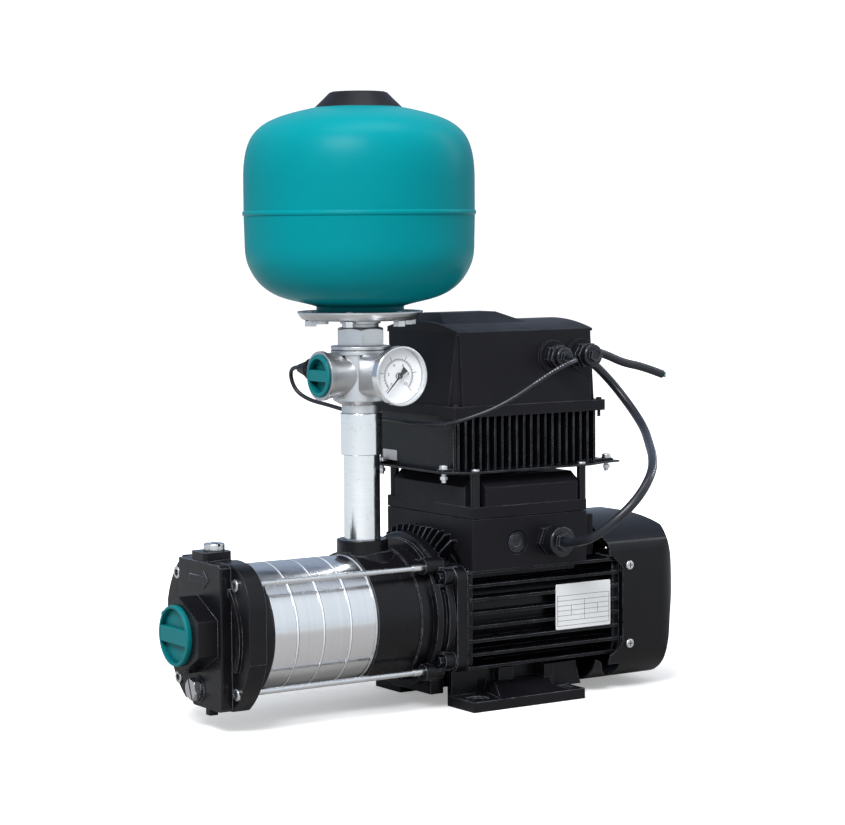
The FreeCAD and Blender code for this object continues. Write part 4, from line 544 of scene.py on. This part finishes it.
def rules(bm):
    W, Hh = nh[0] - nl[0], nh[2] - nl[2]
    y = nl[1] - 0.00001
    def bar(x0, x1, z0, z1):
        q = [Vector((x, y, z)) for x, z in ((x0, z0), (x1, z0), (x1, z1), (x0, z1))]
        A = [bm.verts.new(p) for p in q]
        B = [bm.verts.new(p - Vector((0, 0.00007, 0))) for p in q]
        for k in range(4):
            bm.faces.new((A[k], A[(k + 1) % 4], B[(k + 1) % 4], B[k]))
        bm.faces.new(B); bm.faces.new(A)
    t = 0.00032
    xs = (nl[0] + 0.03 * W, nl[0] + 0.97 * W)
    zs = [nl[2] + Hh * f for f in (0.08, 0.19, 0.30, 0.41, 0.52, 0.63, 0.74)]
    for z in zs:
        bar(xs[0], xs[1], z - t / 2, z + t / 2)
    for f, a, b in ((0.03, 0, 6), (0.52, 1, 5), (0.28, 2, 4), (0.76, 2, 4), (0.97, 0, 6)):
        x = nl[0] + W * f
        bar(x - t / 2, x + t / 2, zs[a], zs[b])


mesh_piece("nameplate_rules", rules, "print_grey")

# ------------------------------------------------------------------ stage, light
me = bpy.data.meshes.new("floor")
bm = bmesh.new()
bmesh.ops.create_grid(bm, x_segments=1, y_segments=1, size=6.0)
bm.to_mesh(me); bm.free()
floor = link(bpy.data.objects.new("floor", me))
g = G("floor_pale")
lpf = g.n("ShaderNodeLightPath")
# floor colour: pale to camera rays, darker grey to bounce and reflected rays, which paints shade into what the floor
# sends back
shade = g.mixc(lpf.outputs["Is Camera Ray"], (0.40, 0.39, 0.385), (0.92, 0.92, 0.925))
g.color(g.mixc(g.ramp(g.noise(1.2, 3.0, 0.5), [(0.3, 0.0), (0.7, 0.04)]), shade, (0.80, 0.80, 0.80)))
g.set(Roughness=0.75, Specular_IOR_Level=0.1, Emission_Color=(1.0, 1.0, 1.0, 1.0))
far = g.n("ShaderNodeVectorMath", operation="LENGTH")
g.l(g.coord(), far.inputs[0])
# emission: to camera rays the floor glows more with distance, a painted light that fades it to white; to glossy rays
# it gives a bluish glow that grows with distance, a painted reflection
glow = g.ramp(g.maths("MULTIPLY", far.outputs["Value"], 0.5), [(0.10, 0.30), (0.26, 0.72), (0.50, 1.0)])
reflected_glow = g.ramp(g.maths("MULTIPLY", far.outputs["Value"], 0.25), [(0.14, 0.0), (0.45, 0.62)])
g.l(g.mixc(lpf.outputs["Is Glossy Ray"], (1.0, 1.0, 1.0), (0.84, 0.95, 1.0)), g.b.inputs["Emission Color"])
gl = g.maths("MULTIPLY", reflected_glow, lpf.outputs["Is Glossy Ray"])
g.l(g.maths("ADD", g.maths("MULTIPLY", glow, lpf.outputs["Is Camera Ray"]), gl), g.b.inputs["Emission Strength"])
me.materials.append(g.m)

w = bpy.data.worlds.new("studio")
S.world = w
w.use_nodes = True
t = w.node_tree
bg = t.nodes["Background"]
tc = t.nodes.new("ShaderNodeTexCoord")
def dot(v):
    x = t.nodes.new("ShaderNodeVectorMath"); x.operation = "DOT_PRODUCT"
    t.links.new(tc.outputs["Generated"], x.inputs[0]); x.inputs[1].default_value = v
    return x.outputs["Value"]
def wramp(src, stops):
    x = t.nodes.new("ShaderNodeValToRGB"); e = x.color_ramp.elements
    for p, _ in stops[1:-1]:
        e.new(p)
    for k, (p, c) in enumerate(stops):
        e[k].position = p; e[k].color = (*c, 1) if isinstance(c, tuple) else (c, c, c, 1)
    mr = t.nodes.new("ShaderNodeMapRange"); mr.inputs[1].default_value = -1.0; mr.inputs[2].default_value = 1.0
    t.links.new(src, mr.inputs[0]); t.links.new(mr.outputs[0], x.inputs[0])
    return x.outputs[0]
def wmul(a, b):
    x = t.nodes.new("ShaderNodeMix"); x.data_type = "RGBA"; x.blend_type = "MULTIPLY"; x.inputs[0].default_value = 1.0
    t.links.new(a, x.inputs[6]); t.links.new(b, x.inputs[7])
    return x.outputs[2]
el = wramp(dot((0, 0, 1)), [(0.0, 0.75), (0.49, 0.80), (0.502, (0.80, 0.90, 1.0)), (0.60, (0.92, 1.0, 1.08)), (0.84, (0.92, 1.0, 1.08)), (0.93, (0.34, 0.38, 0.46)), (1.0, (0.30, 0.34, 0.41))])
az = wramp(dot(Vector((Rt.x, Rt.y, 0)).normalized()), [(0.0, (0.52, 0.57, 0.65)), (0.16, (0.78, 0.83, 0.90)), (0.34, 1.0), (0.80, 1.0), (0.90, 0.92), (1.0, 0.85)])
rear = wramp(dot(Vector((Fw.x, Fw.y, 0)).normalized()), [(0.0, 1.0), (0.60, 1.0), (0.80, (0.34, 0.38, 0.46)), (1.0, (0.36, 0.40, 0.48))])
studio = wmul(wmul(el, az), rear)
lp = t.nodes.new("ShaderNodeLightPath")
md = t.nodes.new("ShaderNodeMix"); md.data_type = "RGBA"
t.links.new(lp.outputs["Is Diffuse Ray"], md.inputs[0]); t.links.new(studio, md.inputs[6]); md.inputs[7].default_value = (0.44, 0.455, 0.47, 1)
mx = t.nodes.new("ShaderNodeMix"); mx.data_type = "RGBA"
t.links.new(lp.outputs["Is Camera Ray"], mx.inputs[0]); t.links.new(md.outputs[2], mx.inputs[6]); mx.inputs[7].default_value = (1, 1, 1, 1)
t.links.new(mx.outputs[2], bg.inputs[0])
bg.inputs[1].default_value = 1.12

def area(name, loc, target, sx, sy, power, col=(1, 1, 1)):
    l = bpy.data.lights.new(name, "AREA")
    l.shape = "RECTANGLE"; l.size, l.size_y = sx, sy; l.energy = power; l.color = col
    o = link(bpy.data.objects.new(name, l))
    o.location = loc
    o.rotation_mode = "QUATERNION"
    o.rotation_quaternion = (Vector(target) - Vector(loc)).to_track_quat("-Z", "Y")
    return o
C0 = P(60, 0, 260)
def rel(right, toward, up):
    return C0 + Vector((Rt.x, Rt.y, 0)).normalized() * right - Vector((Fw.x, Fw.y, 0)).normalized() * toward + Vector((0, 0, up))
area("key", rel(-0.55, 1.75, 1.65), C0, 1.1, 0.8, 60.0)
area("top", rel(0.1, 0.2, 1.9), C0, 1.4, 0.8, 16.0, (0.95, 0.98, 1.0))
area("rim", rel(1.5, -0.6, 1.0), C0, 0.5, 1.4, 5.0)
S.view_settings.view_transform = "Standard"
S.view_settings.look = "None"
